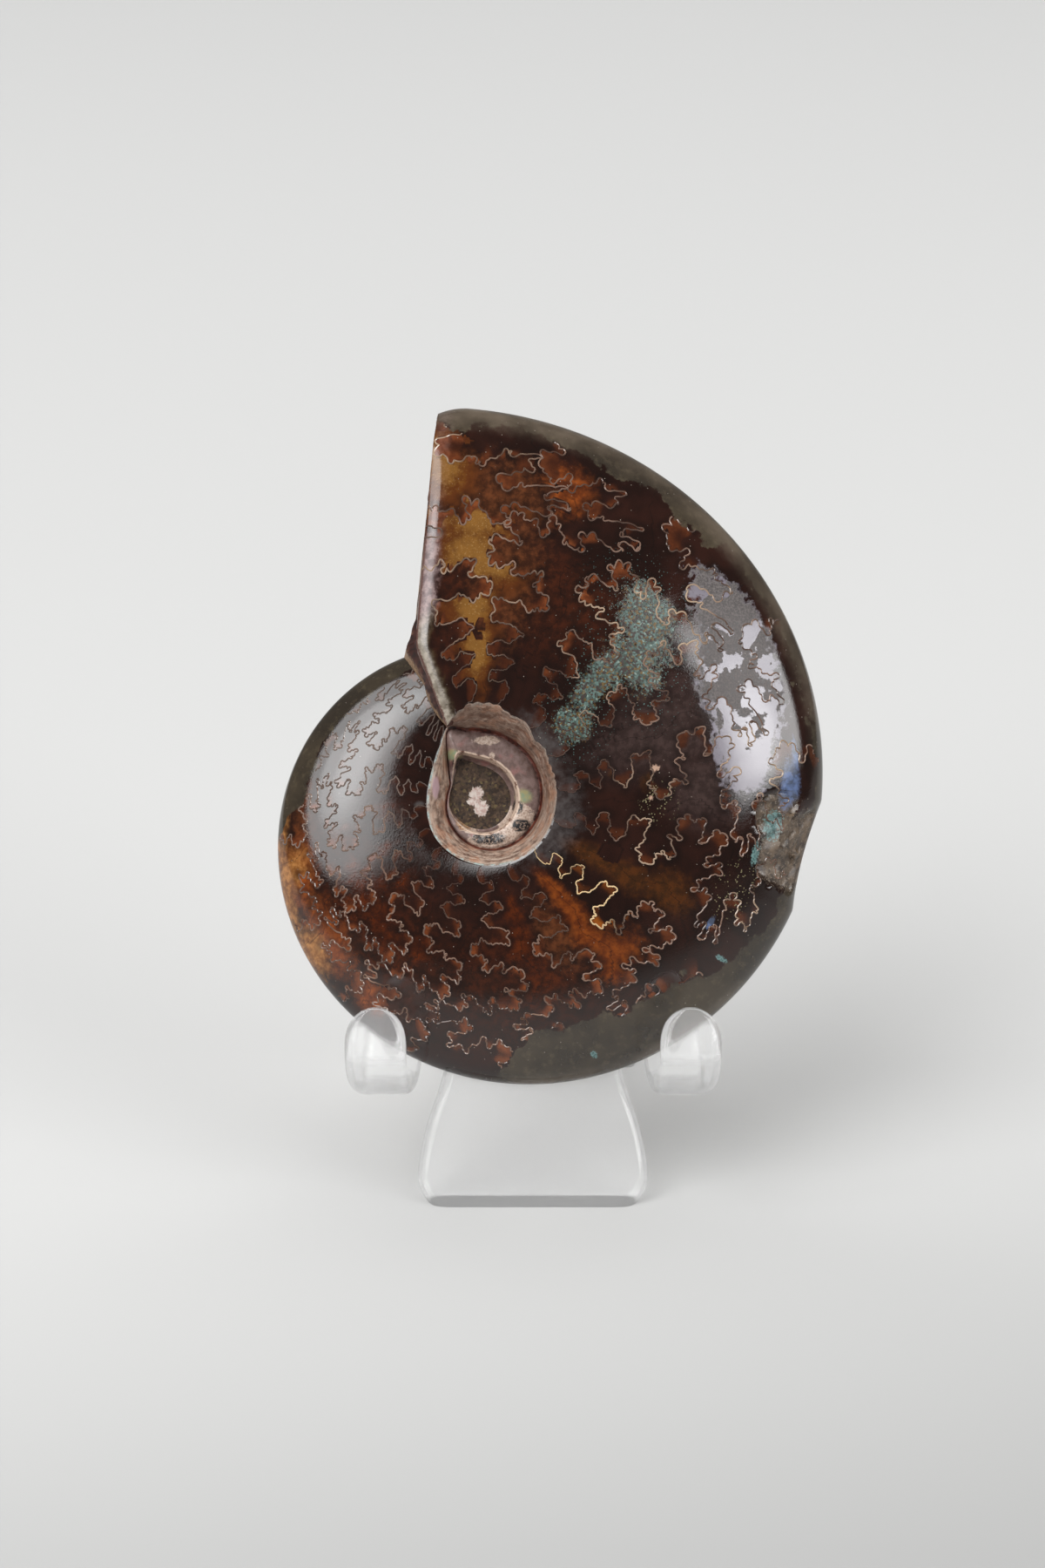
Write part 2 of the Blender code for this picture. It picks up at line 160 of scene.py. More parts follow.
def grow(name, tree, inputs, start_mesh=None):
    """Runs the tree on a mesh and returns an object that holds the result as a plain mesh."""
    obj = put(name, start_mesh or bpy.data.meshes.new(name))
    modifier = obj.modifiers.new("grow", "NODES")
    modifier.node_group = tree
    for item in tree.interface.items_tree:
        if item.in_out == "INPUT" and item.name in inputs:
            modifier[item.identifier] = inputs[item.name]
    result = obj.evaluated_get(bpy.context.evaluated_depsgraph_get())
    mesh = bpy.data.meshes.new_from_object(result)
    obj.modifiers.clear()
    obj.data = mesh
    mesh.name = name
    print(name, "has", len(mesh.vertices), "points and", len(mesh.polygons), "faces")
    return obj


print("a tree's inputs may be:", ", ".join(kind.__name__ for kind in SOCKETS))


# %% [markdown]
# ## Where the fossil stands
#
# The easel's front sheet leans back by 18 degrees and the fossil leans on it. The shell is built flat
# first: x runs to the right, z up the sawn face, and the rounded side bulges towards -y. One matrix then
# leans it back and puts the spiral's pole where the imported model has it.

# %% Placing
LEAN = math.radians(18.0)
REST_GAP = 0.3  # between the sawn face and the sheet
POLE_X, POLE_UP = -4.5, 42.9  # the pole's place on the sheet
BENCH = Vector((-1.9105, -19.4434, 0.0))  # how far the whole set was moved, to be centred on the table
pole_back = POLE_UP * math.sin(LEAN) - REST_GAP * math.cos(LEAN)
pole_height = POLE_UP * math.cos(LEAN) + REST_GAP * math.sin(LEAN)
pole = Vector((POLE_X, pole_back, pole_height))
TO_EASEL = Matrix.Translation((pole + BENCH) * MM) @ Matrix.Rotation(-LEAN, 4, "X")
print("the pole is", [round(c, 2) for c in pole + BENCH], "mm from the middle of the table top")

# %% [markdown]
# ## The growth rule
#
# An ammonite only ever adds to its open end, and it adds in proportion to its size, so the shell is a
# logarithmic spiral: each whole turn is 2.38 times larger than the one before. A growth angle, in degrees,
# is therefore enough to say how large everything is. The navel in the middle is less regular. Its rim, the
# seam at the foot of its wall and the edge of the stone that fills its first whorls are outlines given as
# radii at angles.

# %% Sizes of the shell
EXPANSION = 2.38
MOUTH_ANGLE, MOUTH_RADIUS, MOUTH_HALF_WIDTH = 457.6, 45.65, 10.0
MOUTH_KNEE, CLASP_RIM, OLD_WHORL_ANGLE = (-8.17, 18.74), (-8.45, 21.5), 118.7
CHIP_ANGLE, CHIP_HALF_SPAN, CHIP_DEPTH, CHIP_FROM = 353.0, 10.0, 1.0, 0.8
MOUTH_GAP = 2.4  # degrees by which the older whorl stops short of the mouth
NAVEL_MIDDLE = np.array([-1.44, 1.73])
NAVEL_EDGE = [
    (112.6, 8.75), (132, 6.9), (155, 5.9), (180, 5.62), (219, 6.05), (250, 6.4), (280, 6.95),
    (310, 7.6), (340, 8.17), (365, 8.5), (400, 9.0), (425, 10.0), (447, 10.7), (462, 10.1),
]
SEAM = [
    (112.6, 8.75), (122, 6.6), (132, 5.0), (146, 3.75), (165, 3.5), (190, 3.6), (225, 4.0),
    (255, 4.6), (285, 5.35), (315, 6.0), (345, 6.6), (370, 7.0), (405, 7.5), (440, 7.85), (460, 8.1),
]
PIT_EDGE = [
    (112.6, 4.9), (130, 4.1), (146, 3.5), (165, 3.3), (190, 3.2), (225, 2.9), (270, 2.95),
    (315, 3.2), (360, 3.5), (405, 3.7), (450, 4.15),
]
print("the outer edge at the mouth is", MOUTH_RADIUS, "mm from the pole")


# %% Growth and outlines
def spiral(size_at_mouth, angle):
    """How large a part is at a growth angle, from its size at the mouth."""
    return size_at_mouth * EXPANSION ** ((angle - MOUTH_ANGLE) / 360.0)


def polar(middle, radius, angle):
    """Plan points (x, z) at a radius and an angle round a middle."""
    turn = np.radians(angle)
    return np.stack([middle[0] + radius * np.cos(turn), middle[1] + radius * np.sin(turn)], axis=-1)


def around(outline, angle):
    """Radius of a closed outline at each angle, smooth through its (angle, radius) pairs."""
    pairs = np.array(outline, float)
    at = np.concatenate([pairs[:, 0] - 360, pairs[:, 0], pairs[:, 0] + 360])
    radius = np.tile(pairs[:, 1], 3)
    slope = np.zeros(len(at))
    slope[1:-1] = (radius[2:] - radius[:-2]) / (at[2:] - at[:-2])
    angle = pairs[0, 0] + (np.asarray(angle, float) - pairs[0, 0]) % 360
    k = np.searchsorted(at, angle, side="right") - 1
    gap = at[k + 1] - at[k]
    t = (angle - at[k]) / gap
    ends = (2 * t**3 - 3 * t**2 + 1) * radius[k] + (3 * t**2 - 2 * t**3) * radius[k + 1]
    return ends + ((t**3 - 2 * t**2 + t) * slope[k] + (t**3 - t**2) * slope[k + 1]) * gap


older_radius = spiral(MOUTH_RADIUS, MOUTH_ANGLE - 360)
print("one turn before the mouth the shell is", round(older_radius, 2), "mm in radius")

# %% [markdown]
# ## The flat sheet that will be rolled up
#
# The visible flank of the last whorl is one sheet, a turn long, from the navel's rim (share 0) to the outer
# edge (share 1). It is laid out flat first, as a grid whose points only know their growth angle, their
# share and the place of the navel's rim. The sheet's two ends aren't straight: one follows the older whorl
# where it goes under the mouth, the other follows the saw cut across the mouth, whose angle is found by
# halving a bracket.

# %% The flat sheet
TURN_STEPS, FLANK_STEPS = 620, 92
FLAT_DEGREE, FLAT_FLANK = 0.45, 22.0  # mm on the flat sheet for one degree of growth, and for the whole flank


def navel_crest(angle):
    """Radius of the navel's rim, whose crest is broken and jagged on the upper right."""
    turn, weight = np.radians(angle), np.clip(np.cos(np.radians(np.asarray(angle) - 65)) * 2.2 - 0.9, 0, 1)
    coarse = 0.26 * np.abs(np.sin(7 * turn + 0.4)) - 0.12 + 0.12 * np.sin(19 * turn + 1)
    jag = coarse + 0.1 * np.abs(np.sin(31 * turn)) + 0.04 * np.sin(57 * turn)
    return around(NAVEL_EDGE, angle) + weight * jag


def plan_at(angle, share):
    """Plan position on the flank at a growth angle and share, without the chip."""
    inner = polar(NAVEL_MIDDLE, navel_crest(angle), angle)
    outer = polar((0.0, 0.0), spiral(MOUTH_RADIUS, angle), angle)
    return inner + np.asarray(share)[..., None] * (outer - inner)


def beyond_mouth(plan):
    """How far right of the saw cut a plan point is, in mm; below zero it has passed the cut."""
    tip = polar((0.0, 0.0), MOUTH_RADIUS, MOUTH_ANGLE)
    foot = polar(NAVEL_MIDDLE, navel_crest(MOUTH_ANGLE + 15), MOUTH_ANGLE + 15)
    knee = np.array(MOUTH_KNEE)
    above = plan[..., 1:] > knee[1]
    other = np.where(above, tip, foot)
    way_up = (plan[..., 1] - knee[1]) / (other[..., 1] - knee[1])
    return plan[..., 0] - knee[0] - (other[..., 0] - knee[0]) * way_up


print("the navel's crest is", round(float(navel_crest(365.0)), 2), "mm from the navel's middle on the right")

# %% Where the sheet ends
shares = np.sin(np.pi / 2 * np.linspace(0, 1, FLANK_STEPS + 1)) ** 1.15  # closer together at both edges
low, high = np.full_like(shares, MOUTH_ANGLE - 30), np.full_like(shares, MOUTH_ANGLE + 25)
for _ in range(40):
    middle = (low + high) / 2
    inside = beyond_mouth(plan_at(middle, shares)) > 0
    low, high = np.where(inside, middle, low), np.where(inside, high, middle)
last_angles = np.where(shares < 1, low, MOUTH_ANGLE)
START = last_angles[0] - 360
gap_shape = np.sin(math.pi * np.clip((shares - 0.02) / 0.55, 0, 1)) ** 0.7
first_angles = START + shares * (OLD_WHORL_ANGLE - START) + MOUTH_GAP * gap_shape
DENSE_FROM, DENSE_STEPS = 0.965, 60  # the last rows lie close together, for the worn slope at the mouth
even_rows = np.linspace(0, DENSE_FROM, TURN_STEPS - DENSE_STEPS)
along = np.concatenate([even_rows, np.linspace(DENSE_FROM, 1, DENSE_STEPS + 2)[1:]])[:, None]
growth = first_angles + along * (last_angles - first_angles)
rim = polar(NAVEL_MIDDLE, navel_crest(growth), growth)
print("the sheet runs from", round(START, 1), "to", round(last_angles[0], 1), "degrees along the navel")


# %% Lay the sheet out
def grid_faces(rows, columns, first=0):
    """Quads of a grid of points numbered row by row."""
    corner = first + np.arange(rows - 1)[:, None] * columns + np.arange(columns - 1)
    return np.stack([corner, corner + columns, corner + columns + 1, corner + 1], axis=-1).reshape(-1, 4)


def set_attribute(mesh, name, values, kind="FLOAT"):
    """Keeps one value for each point under a name."""
    attribute = mesh.attributes.get(name) or mesh.attributes.new(name, kind, "POINT")
    attribute.data.foreach_set(
        "vector" if kind == "FLOAT_VECTOR" else "value", np.asarray(values, np.float32).ravel()
    )


def get_attribute(mesh, name, size=1):
    """The values that the points keep under a name."""
    values = np.zeros(len(mesh.vertices) * size, np.float32)
    mesh.attributes[name].data.foreach_get("vector" if size == 3 else "value", values)
    return values.reshape(-1, size) if size > 1 else values


sheet = bpy.data.meshes.new("flat_sheet")
flat = np.stack(
    [growth * FLAT_DEGREE, np.zeros_like(growth), shares * FLAT_FLANK + 0 * growth], axis=-1
).reshape(-1, 3)
sheet.from_pydata((flat * MM).tolist(), [], grid_faces(TURN_STEPS + 1, FLANK_STEPS + 1).tolist())
set_attribute(sheet, "growth", growth)
set_attribute(sheet, "share", shares + 0 * growth)
set_attribute(sheet, "navel_rim", np.stack([rim[..., 0], 0 * growth, rim[..., 1]], axis=-1), "FLOAT_VECTOR")
print("the flat sheet has", len(sheet.polygons), "faces")

# %% [markdown]
# ## Rolling it up
#
# The tree moves every point of the flat sheet to its place on the shell. The size at a point is the
# expansion rate to the power of the turns still missing to the mouth; the outer edge follows from that
# size, the plan position lies on the line from the navel's rim to that edge, and the height above the sawn
# face is a crowned profile with a rounded shoulder and a round outer edge. A chip on the outer edge is a
# dip in that edge.

# %% The coiling tree
shell_sizes = {
    "Expansion per turn": EXPANSION, "Mouth angle": MOUTH_ANGLE, "Mouth radius": MOUTH_RADIUS,
    "Half width": MOUTH_HALF_WIDTH, "Flank fullness": 2.2, "Edge rounding": 0.53,
    "Shoulder dip": 0.02, "Shoulder span": 0.1, "Chip angle": CHIP_ANGLE,
    "Chip half span": CHIP_HALF_SPAN, "Chip depth": CHIP_DEPTH, "Chip from": CHIP_FROM,
}
coil, sizes = new_tree("coiled_shell", shell_sizes)
size_of = sizes.outputs
at_growth, at_share = add(coil, ATTRIBUTE, "growth"), add(coil, ATTRIBUTE, "share")
at_rim = add(coil, ATTRIBUTE, "navel_rim", data_type="FLOAT_VECTOR")
behind = add(coil, MINUS, at_growth, size_of["Mouth angle"])
turns = add(coil, OVER, behind, 360.0)
grown = add(coil, MATH, size_of["Expansion per turn"], turns, operation="POWER")

from_chip = add(coil, MINUS, at_growth, size_of["Chip angle"])
chip_place = add(coil, OVER, from_chip, size_of["Chip half span"])
chip_square = add(coil, TIMES, chip_place, chip_place)
chip_shape = add(coil, MINUS, 1.0, chip_square, use_clamp=True)
chip_reach = add(coil, SOFT, at_share, size_of["Chip from"], 1.0, 0.0, size_of["Chip depth"])
chip = add(coil, TIMES, chip_shape, chip_reach)
print("the tree asks for", len(shell_sizes), "sizes")

# %% Plan position
full_radius = add(coil, TIMES, grown, size_of["Mouth radius"])
outer_radius = add(coil, MINUS, full_radius, chip)
turn = add(coil, MATH, at_growth, operation="RADIANS")
outer_x = add(coil, TIMES, outer_radius, add(coil, MATH, turn, operation="COSINE"))
outer_z = add(coil, TIMES, outer_radius, add(coil, MATH, turn, operation="SINE"))
outer = add(coil, "ShaderNodeCombineXYZ", outer_x, 0.0, outer_z)
plan = add(coil, "ShaderNodeMix", at_share, at_rim, outer, data_type="VECTOR")
print("the plan takes", len(coil.nodes), "nodes")

# %% Height and the finished flank
fullness = add(coil, MATH, at_share, size_of["Flank fullness"], operation="POWER")
left_over = add(coil, MINUS, 1.0, fullness, use_clamp=True)
crown = add(coil, MATH, left_over, size_of["Edge rounding"], operation="POWER")
in_span = add(coil, OVER, at_share, size_of["Shoulder span"])
to_rim = add(coil, MINUS, 1.0, in_span, use_clamp=True)
rounded = add(coil, TIMES, to_rim, to_rim)
dip = add(coil, TIMES, rounded, size_of["Shoulder dip"])
shoulder = add(coil, MINUS, 1.0, dip)
width_here = add(coil, TIMES, grown, size_of["Half width"])
crowned = add(coil, TIMES, width_here, crown)
height = add(coil, TIMES, crowned, shoulder)
lifted = add(coil, "ShaderNodeCombineXYZ", 0.0, add(coil, TIMES, height, -1.0), 0.0)
place = add(coil, VECTOR_MATH, plan, lifted, operation="ADD")
in_metres = add(coil, VECTOR_MATH, place, operation="SCALE", Scale=MM)

rolled = add(coil, "GeometryNodeSetPosition", sizes, Position=in_metres)
real = add(coil, "GeometryNodeRealizeInstances", rolled)
polished_stone = bpy.data.materials.new("polished_chambered_calcite")
add(coil, "NodeGroupOutput", add(coil, "GeometryNodeSetMaterial", real, Material=polished_stone))
flank = grow("flank", coil, shell_sizes, sheet)
flank_points = np.array([v.co for v in flank.data.vertices]).reshape(TURN_STEPS + 1, FLANK_STEPS + 1, 3) / MM
print("the flank is", round(-flank_points[..., 1].min(), 2), "mm high at most")

# %% [markdown]
# ## Uneven by nature
#
# Two helpers give what grows its unevenness. The mottle is smooth random values on a lattice, in several
# sizes, worked out from each point's place. A soft spot is an oval that is 1 in its middle and 0 at its
# border, for all that covers only a part of the stone, and the mottle later breaks its border up.


# %% Mottle and soft spots
LATTICE_PRIMES = np.array([73856093, 19349663, 83492791])  # turn a lattice corner's three numbers into one
STIRS, ALL_BITS = ((15, 2246822519), (13, 3266489917)), 0xFFFFFFFF  # then mix that number's bits well


def mottle(points, size, seed=0, octaves=3):
    """Smooth random values round 0, about -1 to 1, that vary over `size` mm and finer."""
    total, weight = 0.0, 0.0
    for octave in range(octaves):
        place = np.asarray(points, float) / (size / 2**octave) + 17.31 * (seed + 1) + 5.7 * octave
        cell = np.floor(place).astype(np.int64)
        part = place - cell
        part = part * part * (3 - 2 * part)
        value = 0.0
        for corner in range(8):
            step = np.array([corner & 1, corner >> 1 & 1, corner >> 2])
            key = ((cell + step) * LATTICE_PRIMES).sum(-1) & ALL_BITS
            for shift, factor in STIRS:
                key = (key ^ (key >> shift)) * factor & ALL_BITS
            value = value + (key >> 8 & 0xFFFF) / 32767.5 * np.prod(np.where(step, part, 1 - part), axis=-1)
        total, weight = total + (value - 1) / 2**octave, weight + 1 / 2**octave
    return total / weight * 1.5


def soft_spots(place, spots):
    """How far inside the nearest of some soft ovals each place is: 1 in the middle, 0 at the border."""
    inside = np.full(place.shape[:-1], -9.0)
    for *middle, half_length, half_width in spots:
        reach = np.hypot((place[..., 0] - middle[0]) / half_length, (place[..., 1] - middle[1]) / half_width)
        inside = np.maximum(inside, 1 - reach)
    return inside


sample = mottle(flank_points, 3.0)
print("over the flank the mottle runs from", round(sample.min(), 2), "to", round(sample.max(), 2))


# %% [markdown]
# ## Wear and breakage
#
# Polishing rounded the tip and wore the shell at the mouth to a slope. The chip on the right is broken
# stone: a shallow hollow whose floor is made of small tilted faces, each belonging to the nearest of a few
# dozen scattered seeds, the way a brittle stone flakes.

# %% Wear the mouth
SLOPE_SEARCH, SLOPE_WIDTH, SLOPE_LOSS = 6.0, 1.4, 0.055  # degrees, mm from the cut, share of the height
TIP_SPAN, TIP_LOSS = 4.5, 0.016  # degrees, share of the radius


def line_tree(line):
    """A search tree over the points of a line in the plan."""
    tree = KDTree(len(line))
    for k, (x, z) in enumerate(line):
        tree.insert((x, z, 0.0), k)
    tree.balance()
    return tree


flank_growth, flank_share = growth.ravel(), (shares + 0 * growth).ravel()
worn_points = flank_points.copy()
edge_tree = line_tree(worn_points[-1][:, [0, 2]])
slope = np.zeros_like(growth)
for row, column in np.argwhere(last_angles - growth < SLOPE_SEARCH):
    x, _, z = worn_points[row, column]
    slope[row, column] = max(0.0, 1 - edge_tree.find((x, z, 0.0))[2] / SLOPE_WIDTH) ** 2
worn_points[..., 1] *= 1 - SLOPE_LOSS * slope * smooth_step(0.97, 0.8, shares)
tip_wear = np.clip((growth - MOUTH_ANGLE + TIP_SPAN) / TIP_SPAN, 0, 1) ** 2 * smooth_step(0.85, 1.0, shares)
worn_points[..., [0, 2]] *= (1 - TIP_LOSS * tip_wear)[..., None]
print(int((slope > 0).sum()), "points lie on the worn slope")

# %% Break the chip
CHIP_SPOTS = [(353.5, 0.93, 8, 0.17), (360, 0.83, 5.5, 0.09)]
FLAKES, FLAKE_TILT, FLAKE_DEPTHS = 70, 0.22, (0.25, 0.6)  # how many, rise for each mm, mm
DEGREE_HERE, FLANK_HERE = 0.6, 30  # mm of one degree and of the whole flank, near the chip
luck_of = np.random.default_rng(7)
seeds = np.stack([luck_of.uniform(342, 368, FLAKES), luck_of.uniform(0.7, 1.02, FLAKES)], axis=-1)
seeds *= [DEGREE_HERE, FLANK_HERE]
tilts = luck_of.uniform(-FLAKE_TILT, FLAKE_TILT, (FLAKES, 2))
levels = luck_of.uniform(*FLAKE_DEPTHS, FLAKES)
in_mm = np.stack([growth * DEGREE_HERE, shares * FLANK_HERE + 0 * growth], axis=-1)
border = 0.12 * mottle(worn_points, 1.5, 21)
chipped = soft_spots(np.stack([growth, shares + 0 * growth], axis=-1), CHIP_SPOTS) + border
for row, column in np.argwhere(chipped > 0):
    away = in_mm[row, column] - seeds
    k = (away**2).sum(-1).argmin()
    fade = smooth_step(0.0, 0.12, chipped[row, column]) * smooth_step(1.0, 0.97, shares[column])
    depth = (levels[k] + away[k] @ tilts[k]) * fade
    x, y, z = worn_points[row, column]
    shrink = 1 - 0.5 * depth / math.hypot(x, z)
    worn_points[row, column] = (x * shrink, min(0.0, y + depth), z * shrink)
flank_points = worn_points
flat_points = flank_points.reshape(-1, 3)
flank.data.vertices.foreach_set("co", (flat_points * MM).astype(np.float32).ravel())
flank.data.update()
print(int((chipped > 0).sum()), "points lie in the chip")

# %% [markdown]
# The olive skin follows the outer edge: it starts at a share of the flank that depends on the growth angle,
# widest at the bottom and at the top right. It hides the frilled lines, so the lines need to know it too,
# and it is stored on the rolled flank before they are drawn.


# %% The olive skin
def plan_of(points):
    """The plan position (x, z) of each point, before the shell is leant back."""
    return np.stack([points[..., 0], points[..., 2]], axis=-1)


SKIN_STARTS = [  # (growth angle, share where the skin starts)
    (105, 0.8), (130, 0.83), (165, 0.85), (178, 0.88), (184, 0.96), (190, 1.1), (262, 1.1), (270, 0.97),
    (276, 0.86), (283, 0.76), (300, 0.745), (312, 0.76), (322, 0.79), (329, 0.87), (338, 0.93), (362, 0.95),
    (385, 0.96), (402, 0.95), (416, 0.925), (432, 0.94), (450, 0.93), (475, 0.95),
]


def olive_skin(points, growth, share):
    """Above zero where the olive skin covers the flank."""
    start = np.interp(growth, *np.array(SKIN_STARTS).T)
    return (share - start) / 0.1 + 0.5 * mottle(points, 3.0, 3)


skin = olive_skin(flat_points, flank_growth, flank_share)
set_attribute(flank.data, "skin", skin)
print("the olive skin covers", round(100 * float((skin > 0).mean())), "% of the flank's points")

# %% [markdown]
# ## The frilled lines
#
# Each line is a suture: the edge of a wall between two chambers, which was crimped like the edge of a leaf
# where it met the shell. The animal built every wall to the same plan, one every 22 degrees or so and
# always at the scale of the shell there, so one line is drawn once, on the flat sheet, and used again for
# all. From the navel out it runs through simple teeth, a small lobe that points back, a saddle that points
# to the mouth, the long main lobe, which reaches back under the line before it, and the outer saddle. Its
# corners are given as degrees back from the front of the saddle and the share of the flank.

# %% One line, drawn flat
NAVEL_TEETH = [
    (-10, 0), (-13, 0.02), (-14.5, 0.06), (-11.5, 0.084), (-7.7, 0.076), (-5, 0.07), (-3.7, 0.084),
    (-4.5, 0.108), (-7.7, 0.12), (-10.7, 0.126), (-12.7, 0.148), (-13.6, 0.16), (-10.7, 0.162),
    (-8.5, 0.172), (-6, 0.162), (-3.5, 0.166), (-1.4, 0.18), (-1.7, 0.196), (-4, 0.206), (-6.5, 0.218),
    (-9, 0.214), (-10.7, 0.22), (-12.2, 0.24), (-13.6, 0.252), (-11.5, 0.26), (-9.7, 0.278), (-7.2, 0.282),
    (-5, 0.28), (-3, 0.284), (-1.6, 0.294), (-2.2, 0.308), (-3, 0.32), (-2, 0.34), (-2.4, 0.354),
    (-4, 0.358), (-5.7, 0.35), (-8, 0.352), (-9.5, 0.36), (-11, 0.35),
]
SMALL_LOBE = [
    (-13, 0.338), (-14.4, 0.344), (-15, 0.364), (-16.2, 0.36), (-17.5, 0.376), (-18, 0.39), (-17, 0.414),
    (-15.2, 0.422), (-13.7, 0.418), (-12.2, 0.428), (-12.5, 0.44), (-13.4, 0.464), (-13.6, 0.48),
    (-11.7, 0.48), (-10.2, 0.462), (-8.5, 0.452), (-7, 0.444), (-6.1, 0.452), (-7, 0.476), (-6, 0.48),
    (-4.7, 0.466), (-3, 0.46),
]
SADDLE = [
    (-1, 0.468), (0.3, 0.492), (-0.7, 0.506), (-1.7, 0.52), (-0.5, 0.534), (0.1, 0.55), (-1, 0.562),
    (-2.7, 0.562), (-5, 0.558), (-6.5, 0.56), (-7.4, 0.57), (-6.5, 0.58), (-5, 0.59), (-3.5, 0.605),
    (-3.3, 0.625), (-4.3, 0.645), (-5.3, 0.66), (-6.5, 0.655), (-7, 0.64), (-8.7, 0.645), (-9.5, 0.64),
    (-10, 0.62), (-11.2, 0.602), (-12.3, 0.605), (-12.3, 0.625), (-11.5, 0.65), (-11.4, 0.67),
    (-12.5, 0.68), (-13.8, 0.67), (-14.2, 0.65), (-15.5, 0.64), (-16.2, 0.615), (-16.7, 0.605),
    (-18, 0.612), (-19.5, 0.605), (-19.8, 0.625), (-19, 0.64), (-18.5, 0.65),
]
MAIN_LOBE = [
    (-18.8, 0.665), (-19.6, 0.677), (-21, 0.685), (-23, 0.68), (-25.3, 0.672), (-26.8, 0.68), (-27.8, 0.69),
    (-26.4, 0.7), (-26.1, 0.712), (-27.8, 0.718), (-29.6, 0.722), (-30.6, 0.732), (-29.6, 0.742),
    (-27.6, 0.742), (-25.8, 0.738), (-25.3, 0.748), (-26.6, 0.765), (-28.1, 0.78), (-28.7, 0.79),
    (-27.3, 0.788), (-25.1, 0.775), (-23.1, 0.76), (-21.6, 0.748), (-21, 0.757), (-20, 0.738),
    (-18.6, 0.73), (-17.3, 0.742), (-17.3, 0.762), (-18.2, 0.782), (-19.8, 0.795), (-21.4, 0.8),
    (-22.4, 0.812), (-22.9, 0.825), (-21.9, 0.84), (-22.7, 0.855), (-23.4, 0.868), (-21.8, 0.866),
    (-20.3, 0.853), (-19.3, 0.856), (-19.1, 0.872), (-18.3, 0.872), (-17.8, 0.855), (-17, 0.835),
    (-15.8, 0.828), (-15, 0.808),
]
OUTER_SADDLE = [
    (-14.2, 0.794), (-13.6, 0.8), (-13.6, 0.818), (-13, 0.834), (-12.1, 0.824), (-11, 0.806), (-9.8, 0.797),
    (-9.1, 0.82), (-8, 0.826), (-7.4, 0.86), (-7.7, 0.884), (-9.5, 0.898), (-11, 0.91), (-10.8, 0.925),
    (-9.1, 0.942), (-9.5, 0.962), (-11.5, 0.975),
]
corners = [*NAVEL_TEETH, *SMALL_LOBE, *SADDLE, *MAIN_LOBE, *OUTER_SADDLE]
drawn = bpy.data.meshes.new("one_line")
corner_points = [(back * FLAT_DEGREE * MM, share * FLAT_FLANK * MM, 0.0) for back, share in corners]
drawn.from_pydata(corner_points, [(k, k + 1) for k in range(len(corners) - 1)], [])
one_line = put("one_line", drawn)
print("one line has", len(corners), "corners")

# %% [markdown]
# The fronts of the sixteen lines in view are the tree's starting points. The tree rounds the drawn line
# off, puts one copy on each front, stretches each a little differently, crimps it into small round teeth
# and lets a noise pull it about, so that no two are alike. The teeth bulge to the outside of whichever
# finger they sit on: a copy of the line that is ironed nearly straight lies inside every finger, so the way
# from that copy to the line points outwards.
#
# The flat sheet's coordinates are laid on the rolled flank as a UV map, and Sample UV Surface carries each
# point of a line from the sheet to the shell. Where a line runs off the sheet it is cut in two. A thin
# three-sided rod, sunk into the stone, then follows it.

# %% Lay the flat coordinates on the flank
LINE_FRONTS = [
    466.0, 449.2, 426.8, 404.0, 381.6, 358.4, 330.8, 307.2, 283.6, 261.6, 240.8, 219.6, 196.0, 173.5, 151.0,
    129.0
]
first, last = float(growth.min()), float(growth.max())
loops = np.zeros(len(flank.data.loops), np.int64)
flank.data.loops.foreach_get("vertex_index", loops)
sheet_uv = np.stack([(flank_growth - first) / (last - first), flank_share], axis=-1)[loops]
flank.data.uv_layers.new(name="flat_sheet").data.foreach_set("uv", sheet_uv.ravel().astype(np.float32))
fronts = bpy.data.meshes.new("line_fronts")
fronts.from_pydata([(front * FLAT_DEGREE * MM, 0.0, 0.0) for front in LINE_FRONTS], [], [])
print("the lines are", [round(a - b, 1) for a, b in zip(LINE_FRONTS, LINE_FRONTS[1:])], "degrees apart")

# %% The suture tree
suture_sizes = {
    "Drawn line": one_line, "Flank": flank, "Steps": 1850, "Stretch": 0.06, "Wander": 0.55 * MM,
    "Wander size": 2.4 * MM, "Crimp": 0.66 * MM, "Crimps": 92.0, "Width": 0.18 * MM, "Depth": 0.08 * MM,
    "Lift": 0.005 * MM, "Seed": 4, "Flat degree": FLAT_DEGREE * MM, "Flat flank": FLAT_FLANK * MM,
    "Sheet start": first, "Sheet span": last - first,
    "Calcite": bpy.data.materials.new("calcite_septum_edge"),
}
frill, sizes = new_tree("suture_lines", suture_sizes)
size_of = sizes.outputs
drawn_line = add(frill, "GeometryNodeObjectInfo", size_of["Drawn line"]).outputs["Geometry"]
rough = add(frill, "GeometryNodeMeshToCurve", drawn_line)
smooth = add(frill, "GeometryNodeCurveSplineType", rough, spline_type="CATMULL_ROM")
even = add(frill, "GeometryNodeResampleCurve", smooth, Count=size_of["Steps"])
walk = add(frill, STORE, even, Name="across", Value=add(frill, "GeometryNodeSplineParameter"))
tangent = add(frill, "GeometryNodeInputTangent")
sideways = add(frill, VECTOR_MATH, tangent, (0.0, 0.0, 1.0), operation="CROSS_PRODUCT")
walk = add(frill, STORE_WAY, walk, Name="sideways", Value=sideways)
here = add(frill, "GeometryNodeInputPosition")
IRONING = 400  # rounds of averaging each point with its neighbours
ironed = add(frill, "GeometryNodeBlurAttribute", here, IRONING, 1.0, data_type="FLOAT_VECTOR")
away = add(frill, VECTOR_MATH, here, ironed, operation="SUBTRACT")
outwards = add(frill, VECTOR_MATH, away, sideways, operation="DOT_PRODUCT").outputs["Value"]
